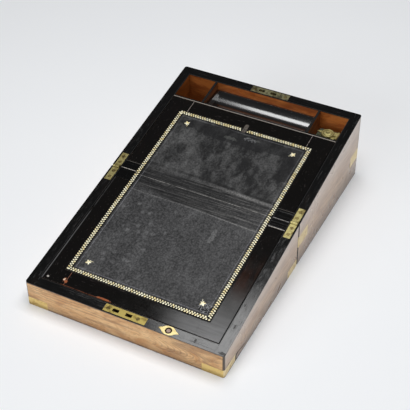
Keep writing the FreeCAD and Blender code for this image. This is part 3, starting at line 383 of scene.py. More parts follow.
def case_wall(name, grain):
    """A wall of the case: walnut outside, mahogany inside, black on the sloping rim."""
    paint = Paint(name)
    x, y, z = paint.frame_place()
    aside, depth = abs(x), abs(y)
    _, towards_end, upright = paint.facing()
    end_face = towards_end.ramp(0.55, 0.8)
    sole = upright.ramp(0.55, 0.8) * z.fall(0.6, 1.2)
    upstanding = 1.0 - sole

    figured, end_pores = wood_colours(paint, ALONG_X, END_WALNUT, 0.4, 0.38, 0.4)
    side_wood, side_pores = wood_colours(paint, ALONG_Y, SIDE_WALNUT_WITH_SHEEN, 0.26, 0.26, 0.08)
    inside, _ = wood_colours(paint, grain, CASE_MAHOGANY, 0.3, 0.3, 0.15)
    pores = end_face.blend(side_pores, end_pores)
    # Painted light on the sides, by height up to the rim: darker towards the floor as painted shade, paler
    # near the rim as a painted sheen.
    share = z / (z - paint.n * (1 / slope_cos))
    side_wood = paint.mix(share.ramp(0.0, 0.5, 0.62, 0.0), side_wood, (88, 66, 54))
    side_wood = paint.mix(share.ramp(0.45, 1.0, 0.0, 0.5), side_wood, (234, 222, 214))
    side_wood = paint.mix(y.ramp(228, 231, 0.0, 0.35), side_wood, (112, 104, 92))
    # Painted shade: the ends darker towards the floor.
    end_wood = paint.mix(z.ramp(0, 22, 0.45, 0.0), figured, (116, 80, 46))
    off_middle = z - ARCH_Z
    arch = x + off_middle * off_middle * 0.16 + paint.noise(30, ALONG_X) * 30
    arches = paint.math("SINE", arch * (2 * math.pi / ARCH_PITCH)).ramp(0.3, 0.95)
    arches = arches * x.ramp(20, 80) * x.fall(108, 140) * y.fall(-200, -190)
    end_wood = paint.mix(arches * 0.38, end_wood, (112, 70, 40))
    outside = paint.mix(end_face, side_wood, end_wood)
    paint.colour = paint.mix(sole, outside, paint.mix(0.4, figured, (120, 78, 46)))

    # Painted shade on the rounded vertical corners, where the faces turn away.
    turn = towards_end.ramp(0.12, 0.35) * towards_end.fall(0.96, 0.997)
    paint.cover(turn * 0.9, (38, 24, 18))
    foot = z.ramp(0.5, 4, 0.75, 0.0) * paint.noise(120).ramp(0.25, 0.55) * upstanding
    paint.cover(foot, (66, 52, 42))
    off_y, off_z = y - SPLINTER_Y, z - SPLINTER_Z
    curl = length(off_y, off_z).line(6, 1.3, 1.4) * off_y.fall(-1, 3)
    split = (off_z + off_y * 0.21).line(6, 0.8, 0.9) * off_y.ramp(0, 2) * off_y.ramp(16, 34, 0.7, 0.0)
    lifted = (curl | split) * x.ramp(151, 152)
    paint.cover(lifted, (14, 8, 6))
    # Painted shade where lid and base meet: their facing walls and the edges beside them darkened.
    seam_shade = depth.fall(1.6, 3.2) * end_face.blend(0.95, 0.3)
    paint.cover(seam_shade * upstanding, (34, 24, 19))

    within = (aside.fall(wall_inside + 0.2, wall_inside + 0.5) * upstanding
              * depth.ramp(front_inside - 0.5, front_inside - 0.2)
              * depth.fall(back_inside + 0.2, back_inside + 0.5))
    # Painted shade: the inner faces beside the flaps near black, where they show through the gaps.
    shade_beside_flap = paint.n.ramp(-14, -11) * paint.s.fall(lip_front - 1, lip_front + 1)
    # Painted shade: the inside darker towards the left compartment.
    inside = paint.mix(x.ramp(-80, -60, 0.4, 0.0), inside, (70, 34, 13))
    paint.cover(within, paint.mix(shade_beside_flap, inside, (12, 10, 9)))
    # Painted shade in the pockets cut into the back walls.
    mortise_shade = (depth.between(back_inside + 1.2, back_face - 1.2) * upstanding * paint.n.fall(-1.6, -1.3)
               * z.ramp(1, 2) * aside.fall(wall_inside - 2, wall_inside - 1))
    paint.cover(mortise_shade * 0.85, (36, 20, 13))

    ragged = paint.n + (paint.noise(420) - 0.5) * 0.9
    rim = ragged.ramp(-1.2, -0.9)
    paint.cover(ragged.ramp(-2.4, -1.1) * 0.6, (48, 30, 22))
    paint.cover(rim, ebonised_colour(paint, grain))
    joint = aside.line(wall_inside, 1.0, 0.5)
    rubbed = paint.edges(0.9) * paint.noise(260, detail=5).ramp(0.44, 0.66) * rim * (1.0 - joint)
    paint.cover(rubbed * 0.85, (112, 88, 72))
    strewn = paint.noise(190, detail=6, roughness=0.7).ramp(0.7, 0.74)
    nicks = (strewn | paint.spots(RIM_NICKS, 1.0, 420)) * rim
    paint.cover(nicks * 0.8, (20, 14, 11))

    smudge = paint.noise(55, detail=5, roughness=0.65)
    combed = paint.noise(420, loosened(grain, 0.5), detail=4, roughness=0.7)
    rim_rough = smudge.ramp(0.3, 0.7, 0.08, 0.14) + combed.ramp(0.48, 0.7, 0.0, 0.22)
    polish = paint.noise(30, detail=1).ramp(0.3, 0.7, 0.27, 0.33)
    gaps = (aside.line(wall_inside, 0.6, 0.3) * depth.fall(back_inside, back_inside + 0.6)
            | depth.line(back_inside, 0.6, 0.3) * aside.fall(wall_inside, wall_inside + 0.6))
    roughness = (nicks | gaps * rim | lifted).blend(rim.blend(polish, rim_rough), 0.85)
    height = combed * rim * 1.6 - (pores + nicks * 2.5)
    return paint.done(roughness, height, depth=0.05, strength=0.3, edge=0.45, Coat_Weight=0.35,
                      Coat_Roughness=0.16)


def inner_wood(name, grain, palette):
    """Wood of the compartments, ledges and boards that stay inside."""
    paint = Paint(name)
    paint.colour, pores = wood_colours(paint, grain, palette, 0.3, 0.3, 0.2)
    stains = paint.noise(60, detail=5, roughness=0.65).ramp(0.52, 0.72)
    paint.cover(stains * 0.5, palette[2])
    paint.cover(paint.n.ramp(-1.9, -1.5), ebonised_colour(paint, grain))
    rubbed = paint.edges(0.7) * paint.noise(300, detail=4).ramp(0.4, 0.58)
    paint.cover(rubbed * 0.2, (120, 92, 70))
    height = paint.noise(300, grain, detail=4) - pores
    return paint.done(stains.ramp(0.0, 1.0, 0.5, 0.66), height, depth=0.06, strength=0.35, edge=0.4,
                      Specular_IOR_Level=0.25)


def partition_wood(name):
    """The partition behind the upper flap: black on top, its front arris rubbed pale and lit by a painted
    highlight.
    """
    paint = Paint(name)
    paint.colour, pores = wood_colours(paint, ALONG_X, PARTITION)
    paint.cover(paint.n.ramp(-1.9, -1.5), ebonised_colour(paint, ALONG_X))
    broken = paint.noise(70, ALONG_X, detail=4).ramp(0.3, 0.46)
    # Worn arris with a painted highlight along the lip's front edge.
    arris = paint.s.fall(lip_front + 0.55, lip_front + 0.9) * paint.n.ramp(-1.0, -0.6) * broken
    paint.cover(arris * 0.75, (196, 186, 176))
    height = paint.noise(300, ALONG_X, detail=4) - pores
    roughness = paint.noise(60, detail=5).ramp(0.3, 0.7, 0.18, 0.34)
    return paint.done(roughness, height, depth=0.05, strength=0.3, edge=0.4)


def flap_wood(name, grain):
    """Ebonised flap boards and cleats, with the scars of lifting them."""
    paint = Paint(name)
    x, s = paint.x, paint.s
    paint.colour = paint.mix(0.5, ebonised_colour(paint, grain), (22, 20, 19))
    right_margin = x.ramp(leather_half, leather_half + 4) * s.ramp(-60, -115) * s.ramp(-170, -125)
    red = paint.noise(90, ALONG_Y, detail=5).ramp(0.3, 0.7)
    paint.cover(right_margin * red * 0.5, (58, 32, 20))
    # Painted sheen: a grey haze over the near-right part of the lower flap.
    hazy_sheen = paint.noise(180, ALONG_X, detail=5).ramp(0.3, 0.65, 0.55, 1.0)
    paint.cover(x.ramp(30, 130) * s.ramp(-165, -228) * hazy_sheen * 0.75, (116, 116, 117))
    joint_line = abs(x).line(cleat_joint, 0.28)
    broken = paint.noise(140, detail=4).ramp(0.34, 0.48)
    paint.cover(joint_line * broken * s.ramp(leather_far, leather_far + 1), (150, 140, 134))

    bare_joint = joint_line * s.fall(leather_near - 2, leather_near) * x.fall(0, 1)
    bare_edge = s.ramp(near_edge + 0.3, near_edge + 0.9, 0.8, 0.0) * x.between(-104, -26, 2) * broken
    chip_x, chip_s = -cleat_joint - 1, near_edge + 7.5
    chips = either(bare_joint * 0.7, bare_edge * 0.7,
                   paint.spot(chip_x + 1.2, chip_s - 0.6, 2.8, 2.4, 1.6, 420),
                   paint.spot(chip_x - 2.4, chip_s + 1.0, 2.0, 3.4, 1.6, 420),
                   paint.spot(-38, near_edge + 1.2, 12, 1.7, 1.0, 260))
    bare = paint.mix(paint.noise(420), (178, 100, 58), (104, 52, 30))
    pale_bare = paint.spot(chip_x - 2.6, chip_s + 1.6, 1.5, 2.2, 1.0)
    paint.cover(chips, paint.mix(pale_bare, bare, (236, 206, 180)))

    # Painted highlight along the flaps' left edges.
    left_edge_highlight = (x.between(-flap_edge, -flap_edge + 1.3, 0.6) * s.ramp(-150, -60, 1.0, 0.35)
                 * s.fall(-18, -12) * paint.noise(40).ramp(0.3, 0.5))
    paint.cover(left_edge_highlight * 0.55, (112, 112, 114))
    paint.cover(paint.spot(-strip_half + 9, near_edge + 5, 2.0, 1.6), (176, 170, 164))
    edges = paint.edges(0.6)
    rubbed = edges * paint.noise(110, detail=5).ramp(0.42, 0.58) * x.fall(0, 50)
    paint.cover(rubbed * 0.75, (132, 116, 104))
    scratches = paint.noise(900, grain, detail=2).ramp(0.66, 0.72)
    paint.cover(scratches * 0.35, (84, 78, 76))
    smudge = paint.noise(60, detail=5, roughness=0.65).ramp(0.3, 0.7, 0.08, 0.13)
    dull = chips | edges * x.ramp(0, 50)
    height = paint.noise(260, grain, detail=4) - chips * 4
    return paint.done(dull.blend(smudge, 0.75), height, depth=0.08, strength=0.35, edge=0.4,
                      Specular_IOR_Level=0.22)


def black_gloss(name):
    """The pen tray: black polish, rubbed brown along its edges, dull on its end walls."""
    paint = Paint(name)
    streaks = paint.noise(150, ALONG_X, detail=4)
    paint.colour = paint.mix(streaks.ramp(0.5, 0.8, 0.0, 0.6), (8, 8, 8), (20, 17, 15))
    rubbed = paint.edges(0.7) * paint.noise(260, detail=5).ramp(0.42, 0.6)
    paint.cover(rubbed * 0.6, (120, 92, 70))
    polish = paint.noise(70, ALONG_X, detail=5).ramp(0.3, 0.7, 0.13, 0.2)
    end_wall = paint.facing()[0].ramp(0.4, 0.7)
    return paint.done(end_wall.blend(polish, 0.8), paint.noise(240, ALONG_X), depth=0.04, strength=0.2,
                      edge=0.25, IOR=1.9, Coat_Weight=1.0, Coat_Roughness=0.11, Coat_IOR=1.6)


# Metals, glass and pads

def old_brass(name, clean, dull, share, roughness=0.3, metallic=1.0, outline=0.6, rings=(), aside=None):
    """Brass with tarnish clouds, painted shade as dark lines at its edges, dark lines in its rings, and fine
    rub marks.
    """
    paint = Paint(name)
    x, y, z = paint.frame_place()
    clouds = paint.noise(110, detail=6, roughness=0.65, distortion=0.3)
    tarnish = clouds.ramp(0.62 - share * 0.4, 0.86 - share * 0.4)
    flecks = paint.noise(700).ramp(0.64, 0.72)
    paint.colour = paint.mix(tarnish, clean, dull)
    paint.cover(flecks * 0.45, (84, 62, 34))
    if aside:
        away_x, towards_end, _ = paint.facing()
        sideways = away_x.ramp(0.4, 0.7)
        # Painted shade low on the faces turned to the ends.
        paint.cover(towards_end.ramp(0.4, 0.7) * z.ramp(1, 9, 0.5, 0.0), (112, 80, 38))
        # Painted sheen: paler side tones on the faces turned sideways.
        paint.cover(sideways, paint.mix(tarnish, *aside))
        # Painted shadow along the foot of the faces turned sideways.
        paint.cover(sideways * z.ramp(0.6, 1.8, 0.8, 0.0), (78, 66, 50))
    # Painted shade: a broken dark line along the edges.
    rim = paint.edges(1.1) * paint.noise(340).ramp(0.3, 0.5)
    paint.cover(rim * outline, (52, 38, 22))
    if rings:
        away = length(x - ink_x, y - ink_y)
        grooves = either(*(away.line(radius, 0.25, 0.5) for radius in rings))
        paint.cover(grooves * 0.75, (74, 64, 32))
    rubs = paint.noise(1200, (0.12, 1.0, 1.0), detail=2)
    rough = tarnish.ramp(0.0, 1.0, roughness, roughness + 0.2) + rubs * 0.1
    return paint.done(rough, rubs - flecks, depth=0.03, strength=0.3, edge=0.35, Metallic=metallic)


def worn_steel(name, clean, rusty, metallic):
    """Grey brown steel of pins and bolts."""
    paint = Paint(name)
    rust = paint.noise(420, detail=5).ramp(0.48, 0.68)
    paint.colour = paint.mix(rust, clean, rusty)
    return paint.done(rust.ramp(0.0, 1.0, 0.32, 0.62), paint.noise(900), depth=0.03, strength=0.3, edge=0.2,
                      Metallic=metallic)


def bottle_glass(name):
    """Clear pressed glass with faint ripples and dried ink."""
    paint = Paint(name)
    ripples = paint.noise(90, detail=2)
    ink = paint.noise(140, detail=4).ramp(0.58, 0.7, 0.0, 0.35)
    paint.colour = paint.mix(ink, (172, 188, 158), (40, 44, 52))
    return paint.done(ripples.ramp(0.3, 0.7, 0.03, 0.1), ripples, depth=0.2, strength=0.3,
                      Transmission_Weight=0.85, IOR=1.5)


def cap_pad(name):
    """Brown leather disc that seals the bottle, stained with ink."""
    paint = Paint(name)
    ink = paint.noise(180, detail=5).ramp(0.42, 0.62)
    paint.colour = paint.mix(ink, (120, 84, 56), (38, 34, 44))
    return paint.done(ink.ramp(0.0, 1.0, 0.75, 0.6), paint.cells(1600))


# Leather, gold and floor

REST = "slope_place"
LEATHER_RUBS = ((-12.5, 118.5, 11, 3.6), (18, 128.5, 9, 1.8), (30, 128, 5, 2.4),
                (5, 134, 12, 1.2), (92, -184, 2.2, 5), (97, -176, 1.6, 7),
                (-95, -168, 1.4, 9))


def tooled_leather(name):
    """Black grained skiver, greyed in clouds by wear, with painted highlights and shade at its folds,
    crumples and grain.
    """
    paint = Paint(name, REST)
    x, s = paint.x, paint.s
    aside = abs(x)
    upward = s.ramp(-12, 24)
    clouds = paint.noise(34, (1.0, 0.5, 1.0), distortion=0.4)
    patches = paint.noise(80, (1.0, 0.6, 1.0), detail=5, roughness=0.62, distortion=0.3)
    fine = paint.noise(300, detail=4, roughness=0.75, distortion=0.6)
    upper_bloom = (clouds.ramp(0.4, 0.62, 0.0, 0.5) + patches.ramp(0.38, 0.68, 0.0, 0.5)
                   + fine.ramp(0.4, 0.7, -0.12, 0.12))
    lower_bloom = fine.ramp(0.36, 0.66, 0.12, 0.66) + clouds.ramp(0.4, 0.7, 0.0, 0.3)
    bloom = upward.blend(lower_bloom, upper_bloom) + x.ramp(-105, -5, upward.blend(-0.1, 0.16), 0.0)
    ground = paint.mix(upward, (34, 34, 35), (24, 24, 25))
    paint.colour = paint.mix(bloom, ground, paint.mix(upward, (96, 96, 97), (88, 88, 88)))

    dots = paint.cells(68).fall(0.05, 0.34) * x.ramp(-40, 20, 0.5, 0.0) * s.ramp(-36, -50)
    paint.cover(dots, (120, 120, 121))
    paint.cover(paint.spot(49, -67, 4, 15, 0.4, 160) * 0.4, (128, 128, 128))
    far_shade = paint.spots(((4, leather_far - 22, 104, 17), (96, leather_far - 44, 18, 44)), 0.9, 45)
    paint.cover(far_shade * 0.75, (22, 22, 24))
    paint.cover(paint.spots(LEATHER_RUBS, 1.4, 260) * 0.26, (112, 114, 110))
    # Painted shade and painted highlights of crumpled leather: dark patches by the near-right corner and by
    # the pull tab, with pale crease lines in them.
    crumpled = paint.spot(96, -182, 12, 9, 0.3, 120) | paint.spot(17, 126, 11, 5, 0.3, 120) * 0.5
    creases = abs(paint.noise(170, detail=1.5, distortion=0.8) - 0.5).fall(0.0, 0.09)
    paint.cover(crumpled * 0.95, (12, 12, 14))
    paint.cover(crumpled * creases * 0.8, (160, 160, 162))

    from_bow = s - x.ramp(-20, 110, -31, -35.4)
    rightward = x.ramp(-40, 90)
    leftward = x.fall(-110, -30)
    by_fold = from_bow.ramp(0, leftward.blend(3, 22)) * s.fall(leftward.blend(15, 2), leftward.blend(22, 34))
    lines = paint.noise(520, (0.035, 1.0, 1.0), detail=4, roughness=0.7)
    paint.cover(by_fold * rightward.blend(0.88, 0.55), (17, 17, 18))
    paint.cover(by_fold * lines.ramp(0.47, 0.64) * rightward.blend(0.4, 0.95), (100, 99, 98))
    broken = paint.noise(34, detail=4).ramp(0.34, 0.56)
    # Painted highlights along the bowed lower crease and along the middle of the fold.
    paint.cover(abs(from_bow).fall(0.3, 1.7) * rightward.blend(0.35, 0.85), (124, 123, 122))
    paint.cover(s.line(-2.0, 0.25, 0.5) * (broken | 0.35) * 0.8, (150, 148, 144))
    # Painted highlight on the raised ridge by the upper crease, and painted shadow just beyond it.
    from_ridge = s - x.ramp(-20, 110, 21, 16.5)
    ridge_highlight = abs(from_ridge).fall(0.4, 5) * x.ramp(-40, 70) * lines.ramp(0.36, 0.6, 0.55, 1.0)
    paint.cover(ridge_highlight * 0.8, (128, 127, 126))
    paint.cover(from_ridge.line(6, 1.2, 2.0) * broken * 0.6, (22, 22, 22))

    tooled = (aside.line(blind_half, 0.3) * s.between(blind_near, blind_far)
              | (s.line(blind_far, 0.3) | s.line(blind_near, 0.3)) * aside.fall(blind_half, blind_half + 0.3))
    paint.cover(tooled * upward.blend(0.8, broken * 0.4), (130, 130, 136))
    from_ends = paint.math("MINIMUM", leather_far - s, s - leather_near)
    inset = paint.math("MINIMUM", leather_half - aside, from_ends)
    paint.cover(inset.ramp(7.4, 9.4, 0.92, 0.0), (9, 8, 8))
    bare_width = aside.ramp(leather_half, leather_half + 1)
    paint.cover(bare_width * 0.9, (9, 9, 9))
    at_left = x.fall(-1, 1)
    at_right = 1.0 - at_left
    cut_edge = either(at_left * s.line(2.1, 0.45), at_right * s.line(lower_crease + 0.4, 0.5),
                      at_right * s.line(-1.0, 0.4) * 0.4, s.line(upper_crease - 0.4, 0.4) * 0.25)
    paint.cover(cut_edge * bare_width * 0.95, (186, 180, 172))

    pebbles = paint.cells(430, (1.0, 0.8, 1.0))
    # Painted shade in the hollows of the grain.
    paint.cover(pebbles.ramp(0.4, 0.8) * 0.5, (14, 14, 15))
    roughness = inset.fall(7, 8).blend(bloom.ramp(0.0, 1.0, 0.4, 0.55), 0.85)
    height = (pebbles + paint.noise(900, detail=4) * 0.35) * (1.0 - bare_width * 0.85)
    return paint.done(bare_width.blend(roughness, 0.16), height, depth=0.25, strength=0.8,
                      Specular_IOR_Level=0.2)


def gold_leaf(name):
    """Worn gilding, pale and a little broken."""
    paint = Paint(name)
    rubbed = paint.noise(800).ramp(0.6, 0.76)
    paint.colour = paint.mix(paint.noise(240).ramp(0.4, 0.68), (255, 251, 222), (246, 224, 156))
    paint.cover(rubbed * 0.4, (120, 98, 56))
    return paint.done(rubbed.ramp(0.0, 1.0, 0.28, 0.6), paint.noise(1500), depth=0.02, strength=0.3,
                      Metallic=0.1)


def tab_leather(name):
    """Rubbed grey tan leather of the pull tab."""
    paint = Paint(name)
    rubbed = paint.noise(420, detail=5, roughness=0.65)
    paint.colour = paint.mix(rubbed.ramp(0.36, 0.66), (46, 42, 38), (98, 89, 80))
    return paint.done(0.7, paint.cells(1300), depth=0.12)


def floor_paint(name):
    """A plain pale ground."""
    paint = Paint(name)
    paint.colour = paint.mix(paint.noise(3), (245, 247, 250), (248, 250, 252))
    return paint.done(0.9, Specular_IOR_Level=0.1)


# The leather's own shape: creases, cockles and blind tooling

seam_place = 12.5
fold_reach = 1.4
fine_reach, fine_step = 1.2, 0.4
# Each crease as its place along the slope, its width and its height
CREASES = ((upper_crease, 0.8, -0.3), (upper_crease - 3.2, 1.5, 0.14), (upper_crease + 5, 2.2, 0.12),
           (0.0, 0.9, 0.22), (lower_crease, 0.8, -0.3), (lower_crease + 4, 1.5, 0.12))


def ridge(away, width):
    """A smooth ridge of height 1, at a distance from its top."""
    return math.exp(-(away / width) ** 2)


def ripple(*place):
    """Smooth noise, from about -1 to 1."""
    return noise.noise(Vector(place))


def leather_rise(x, s):
    """How far the leather stands above its level place on the slope."""
    rise = 0.1 * ripple(x * 0.045, s * 0.028, 0.3)
    rise += 0.1 * ridge(s, 26) * ripple(x * 0.007, s * 0.42, 5.1)
    wander = 0.8 * ripple(x * 0.022, 2.7, 9.4)
    for index, (place, width, height) in enumerate(CREASES):
        strength = 0.55 + 0.9 * ripple(x * 0.014, index * 3.3, 1.7)
        rise += height * strength * ridge(s - place - wander, width)
    share = min(1.0, max(0.0, (x + 20) / 130))
    bowed = -31 - 4.4 * share * share * (3 - 2 * share)
    rise += 0.28 * ridge(s - bowed, 1.0) - 0.14 * ridge(s - bowed - 2.2, 1.2)
    if blind_near - 1 < s < blind_far + 1:
        off_line = abs(abs(x) - blind_half)
        if abs(x) < blind_half:
            off_line = min(off_line, abs(s - blind_far), abs(s - blind_near))
        rise -= 0.18 * ridge(off_line, 0.45)
    to_edge = min(leather_far - s, s - leather_near, strip_half - abs(x))
    rise -= 0.12 * ridge(max(to_edge, 0.0), 0.5)
    return rise


def steps(*stops):
    """Grid lines from (place, step to the next place) pairs; the last pair only ends the run."""
    lines = []
    for (place, step), (end, _) in zip(stops, stops[1:]):
        count = max(1, round(abs(end - place) / step))
        lines += [place + (end - place) * index / count for index in range(count)]
    return lines + [stops[-1][0]]


def across_line(line, step):
    """Stops for a fine grid across a tooled line, and for a coarser step after it."""
    return (line - fine_reach, fine_step), (line + fine_reach, step)


def add_object(name, data):
    made = bpy.data.objects.new(name, data)
    bpy.context.scene.collection.objects.link(made)
    return made


def new_piece(name, bm, material):
    """A smoothly shaded piece of the scene."""
    mesh = bpy.data.meshes.new(name)
    bmesh.ops.recalc_face_normals(bm, faces=bm.faces[:])
    bm.to_mesh(mesh)
    bm.free()
    for polygon in mesh.polygons:
        polygon.use_smooth = True
    mesh.materials.append(material)
    return add_object(name, mesh)


right_columns = steps((0.0, 2.2), *across_line(blind_half, 1.8), (leather_half - fine_reach, fine_step),
                      (leather_half, 2.4), (strip_half - 1.0, 0.5), (strip_half, None))
columns = [-x for x in reversed(right_columns[1:])] + right_columns


def leather_piece(name, rows, material):
    """A closed sheet over the rows: full strip width up to the creases, the narrower panel beyond."""
    bm = bmesh.new()
    layer = bm.verts.layers.float_vector.new(REST)
    made = {}

    def corner(column, row, under):
        key = (column, row, under)
        if key not in made:
            x, s = columns[column], rows[row]
            n = leather_level - leather_depth if under else leather_level + leather_rise(x, s)
            made[key] = bm.verts.new(on_slope(x, s, n))
            made[key][layer] = (x * MM, s * MM, n * MM)
        return made[key]

    def covered(column, row):
        middle_x = (columns[column] + columns[column + 1]) / 2
        middle_s = (rows[row] + rows[row + 1]) / 2
        return abs(middle_x) < leather_half or lower_crease < middle_s < upper_crease

    cells = {(c, r) for c in range(len(columns) - 1) for r in range(len(rows) - 1) if covered(c, r)}
    for c, r in sorted(cells):
        loop = [(c, r), (c + 1, r), (c + 1, r + 1), (c, r + 1)]
        bm.faces.new([corner(*place, False) for place in loop])
        bm.faces.new([corner(*place, True) for place in reversed(loop)])
        beside = [(c, r - 1), (c + 1, r), (c, r + 1), (c - 1, r)]
        for index, neighbour in enumerate(beside):
            if neighbour not in cells:
                first, second = loop[index], loop[(index + 1) % 4]
                bm.faces.new([corner(*first, False), corner(*first, True), corner(*second, True),
                              corner(*second, False)])
    return new_piece(name, bm, material)


leather = tooled_leather("tooled leather")
upper_rows = steps((seam_place, 0.5), (upper_crease - 1.5, 0.3), (upper_crease, 0.3), (upper_crease + 3, 1.0),
                   (upper_crease + 10, 2.2), *across_line(blind_far, 1.8),
                   (leather_far - fine_reach, fine_step), (leather_far, None))
lower_rows = steps((leather_near, fine_step), (leather_near + fine_reach, 1.8), *across_line(blind_near, 2.2),
                   (lower_crease - 20, 0.5), (lower_crease - 3, 0.3), (lower_crease, 0.3),
                   (lower_crease + 1.5, 0.5), (-seam_place, None))
middle_rows = steps((-seam_place, 0.58), (-fold_reach, 0.2), (fold_reach, 0.58), (seam_place, None))
upper_sheet = leather_piece("leather_upper", upper_rows, leather)
middle_sheet = leather_piece("leather_fold", middle_rows, leather)
lower_sheet = leather_piece("leather_lower", lower_rows, leather)

# Gold tooling, pressed on to the leather

gold = gold_leaf("gold tooling")
bead_pitch = 4.02
bead_lift, stalk_lift = 0.09, 0.05
bead_sizes = (0.84, 1.1)
bead_sway, fleuron_sway = 0.12, 0.25
gilt_sunk, gilt_crown = 0.03, 0.72
gold_shift = -0.9
gold_near = 1.3
least_gilt = 0.2
fold_margin = 0.15
fleuron_inset = 23.5
fleuron_size = 4.6
# Each row of beads: inset from the leather's edge, share of a pitch, half sizes and slant in degrees
BEAD_ROWS = ((2.4, 0.0, 1.74, 1.2, 62), (5.2, 0.4, 1.62, 1.2, -50))
tab_middle = sum(tab_room[0]) / 2
tab_half = (tab_room[0][1] - tab_room[0][0]) / 2
tab_start, tab_end = tab_room[1]
tab_clearance = 5
GILT_SPANS = {
    "upper_flap": (upper_crease + fold_margin, leather_far),
    "base": (0.3, upper_crease - fold_margin),
    "lid": (lower_crease + fold_margin, -1.5),
    "lower_flap": (leather_near, lower_crease - fold_margin),
}
gilding = {body: bmesh.new() for body in GILT_SPANS}


def clipped(outline, low, high):
    """The part of an outline from one place along the slope to another."""
    for limit, side in ((low, 1), (high, -1)):
        left = []
        for (x, s), (next_x, next_s) in zip(outline, outline[1:] + outline[:1]):
            here, there = (s - limit) * side, (next_s - limit) * side
            if here >= 0:
                left.append((x, s))
            if here * there < 0:
                left.append((x + (next_x - x) * here / (here - there), limit))
        outline = left
    return outline


def gild(outline, lift=bead_lift):
    """Lay a patch of gold on the bodies under it, parted at the folds."""
    for body, (low, high) in GILT_SPANS.items():
        part = clipped(outline, low, high)
        if len(part) > 2 and max(s for _, s in part) - min(s for _, s in part) > least_gilt:
            gilt_patch(gilding[body], part, lift)


def gilt_patch(bm, outline, lift):
    """A thin crowned patch of gold with this outline, as x and s."""
    count = len(outline)
    centre_x, centre_s = (sum(values) / count for values in zip(*outline))
    rings = []
    for share, height in ((1.0, -gilt_sunk), (1.0, 0.25 * lift), (gilt_crown, lift)):
        ring = []
        for x, s in outline:
            at_x = centre_x + (x - centre_x) * share
            at_s = centre_s + (s - centre_s) * share
            ring.append(bm.verts.new(on_slope(at_x, at_s, leather_level + leather_rise(at_x, at_s) + height)))
        rings.append(ring)
    for lower, upper in zip(rings, rings[1:]):
        for index in range(count):
            after = (index + 1) % count
            bm.faces.new([lower[index], lower[after], upper[after], upper[index]])
    bm.faces.new(rings[-1])
    bm.faces.new(list(reversed(rings[0])))


def turned(centre, u, v, angle):
    """The place u along and v across from a centre, in directions turned by the angle."""
    return (centre[0] + u * math.cos(angle) - v * math.sin(angle),
            centre[1] + u * math.sin(angle) + v * math.cos(angle))


def once_round(count):
    """Evenly spaced angles of a full turn."""
    return [2 * math.pi * index / count for index in range(count)]


def bead_run(start, end, offset, along, across, slant):
    """A row of slanting oval beads from start to end, both as x and s."""
    run_x, run_s = end[0] - start[0], end[1] - start[1]
    heading = math.atan2(run_s, run_x)
    axis = 0 if abs(run_x) > abs(run_s) else 1
    low, high = sorted((start[axis], end[axis]))
    for index in range(math.ceil(low / bead_pitch - offset), math.floor(high / bead_pitch - offset) + 1):
        centre = list(start)
        centre[axis] = (index + offset) * bead_pitch
        draw.random()  # an unused draw, which keeps the two after it as they are
        size = draw.uniform(*bead_sizes)
        lean = heading + slant + draw.uniform(-bead_sway, bead_sway)
        if abs(centre[0] - tab_middle) >= tab_clearance or centre[1] <= tab_start:
            gild([turned(centre, along * size * math.cos(angle), across * size * math.sin(angle), lean)
                  for angle in once_round(10)])


def border_sides(inset):
    """The four sides of the border at an inset from the leather's edge."""
    left = gold_shift - leather_half + inset
    right = gold_shift + leather_half - inset
    far = leather_far - inset
    near = leather_near + gold_near + inset
    corners = ((left, near), (left, far), (right, far), (right, near))
    return zip(corners, corners[1:] + corners[:1])


def leaf_outline(centre, heading):
    """An ivy leaf of five lobes."""
    outline = []
    for angle in once_round(40):
        reach = fleuron_size * (0.72 + 0.26 * math.cos(5 * angle) + 0.16 * math.cos(angle))
        outline.append(turned(centre, reach * math.cos(angle), reach * math.sin(angle), heading))
    return outline


def stalk_outline(centre, heading):
    """The stalk, a thin tapering curve behind the leaf."""
    left, right = [], []
    for index in range(7):
        share = index / 6
        away = -fleuron_size * (0.55 + 0.85 * share)
        bend = fleuron_size * 0.35 * share * share
        half = fleuron_size * (0.11 - 0.05 * share)
        left.append(turned(centre, away, bend + half, heading))
        right.append(turned(centre, away, bend - half, heading))
    return left + right[::-1]


for inset, offset, along, across, slant in BEAD_ROWS:
    for start, end in border_sides(inset):
        bead_run(start, end, offset, along, across, math.radians(slant))
for side in (-1, 1):
    for s, towards in ((leather_far - fleuron_inset, 1), (leather_near + gold_near + fleuron_inset, -1)):
        centre = (side * (leather_half - fleuron_inset), s)
        heading = math.atan2(towards, side) + draw.uniform(-fleuron_sway, fleuron_sway)
        gild(leaf_outline(centre, heading))
        gild(stalk_outline(centre, heading), stalk_lift)
for body in GILT_SPANS:
    gilt = new_piece("gold_" + body, gilding[body], gold)
    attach(gilt, body)

# The leather sheets keep their rest places, and the CAD leather they stand for is hidden

on_slope(0, upper_crease - 0.9, leather_level)
on_slope(0, upper_crease + 1.3, leather_level)
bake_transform(upper_sheet)
on_slope(0, lower_crease + 0.9, leather_level)
on_slope(0, lower_crease - 1.3, leather_level)
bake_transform(lower_sheet)
on_slope(0, -fold_reach, leather_level)
on_slope(0, fold_reach, leather_level)
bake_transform(middle_sheet)
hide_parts("upper_writing_leather")
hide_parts("lower_writing_leather")
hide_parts("base_hinge_leather", "lid_hinge_leather")


def panel_area(far, crease):
    """Flat area of a sheet with its strip and its narrower panel, in square metres."""
    strip = 2 * strip_half * abs(abs(crease) - seam_place)
    return (strip + 2 * leather_half * abs(far - crease)) * MM * MM


for sheet, far, crease, under in ((upper_sheet, leather_far, upper_crease, "upper_flap_board"),
                                  (lower_sheet, leather_near, lower_crease, "lower_flap_board")):
    2 * strip_half * MM
    (abs(far) - seam_place) * MM
    panel_area(far, crease)
2 * strip_half * MM

# Pull tab: a strip glued at its inner end and curling up at the free one

tab_thick = 0.35
tab_start_round, tab_end_round = 0.1, 0.18


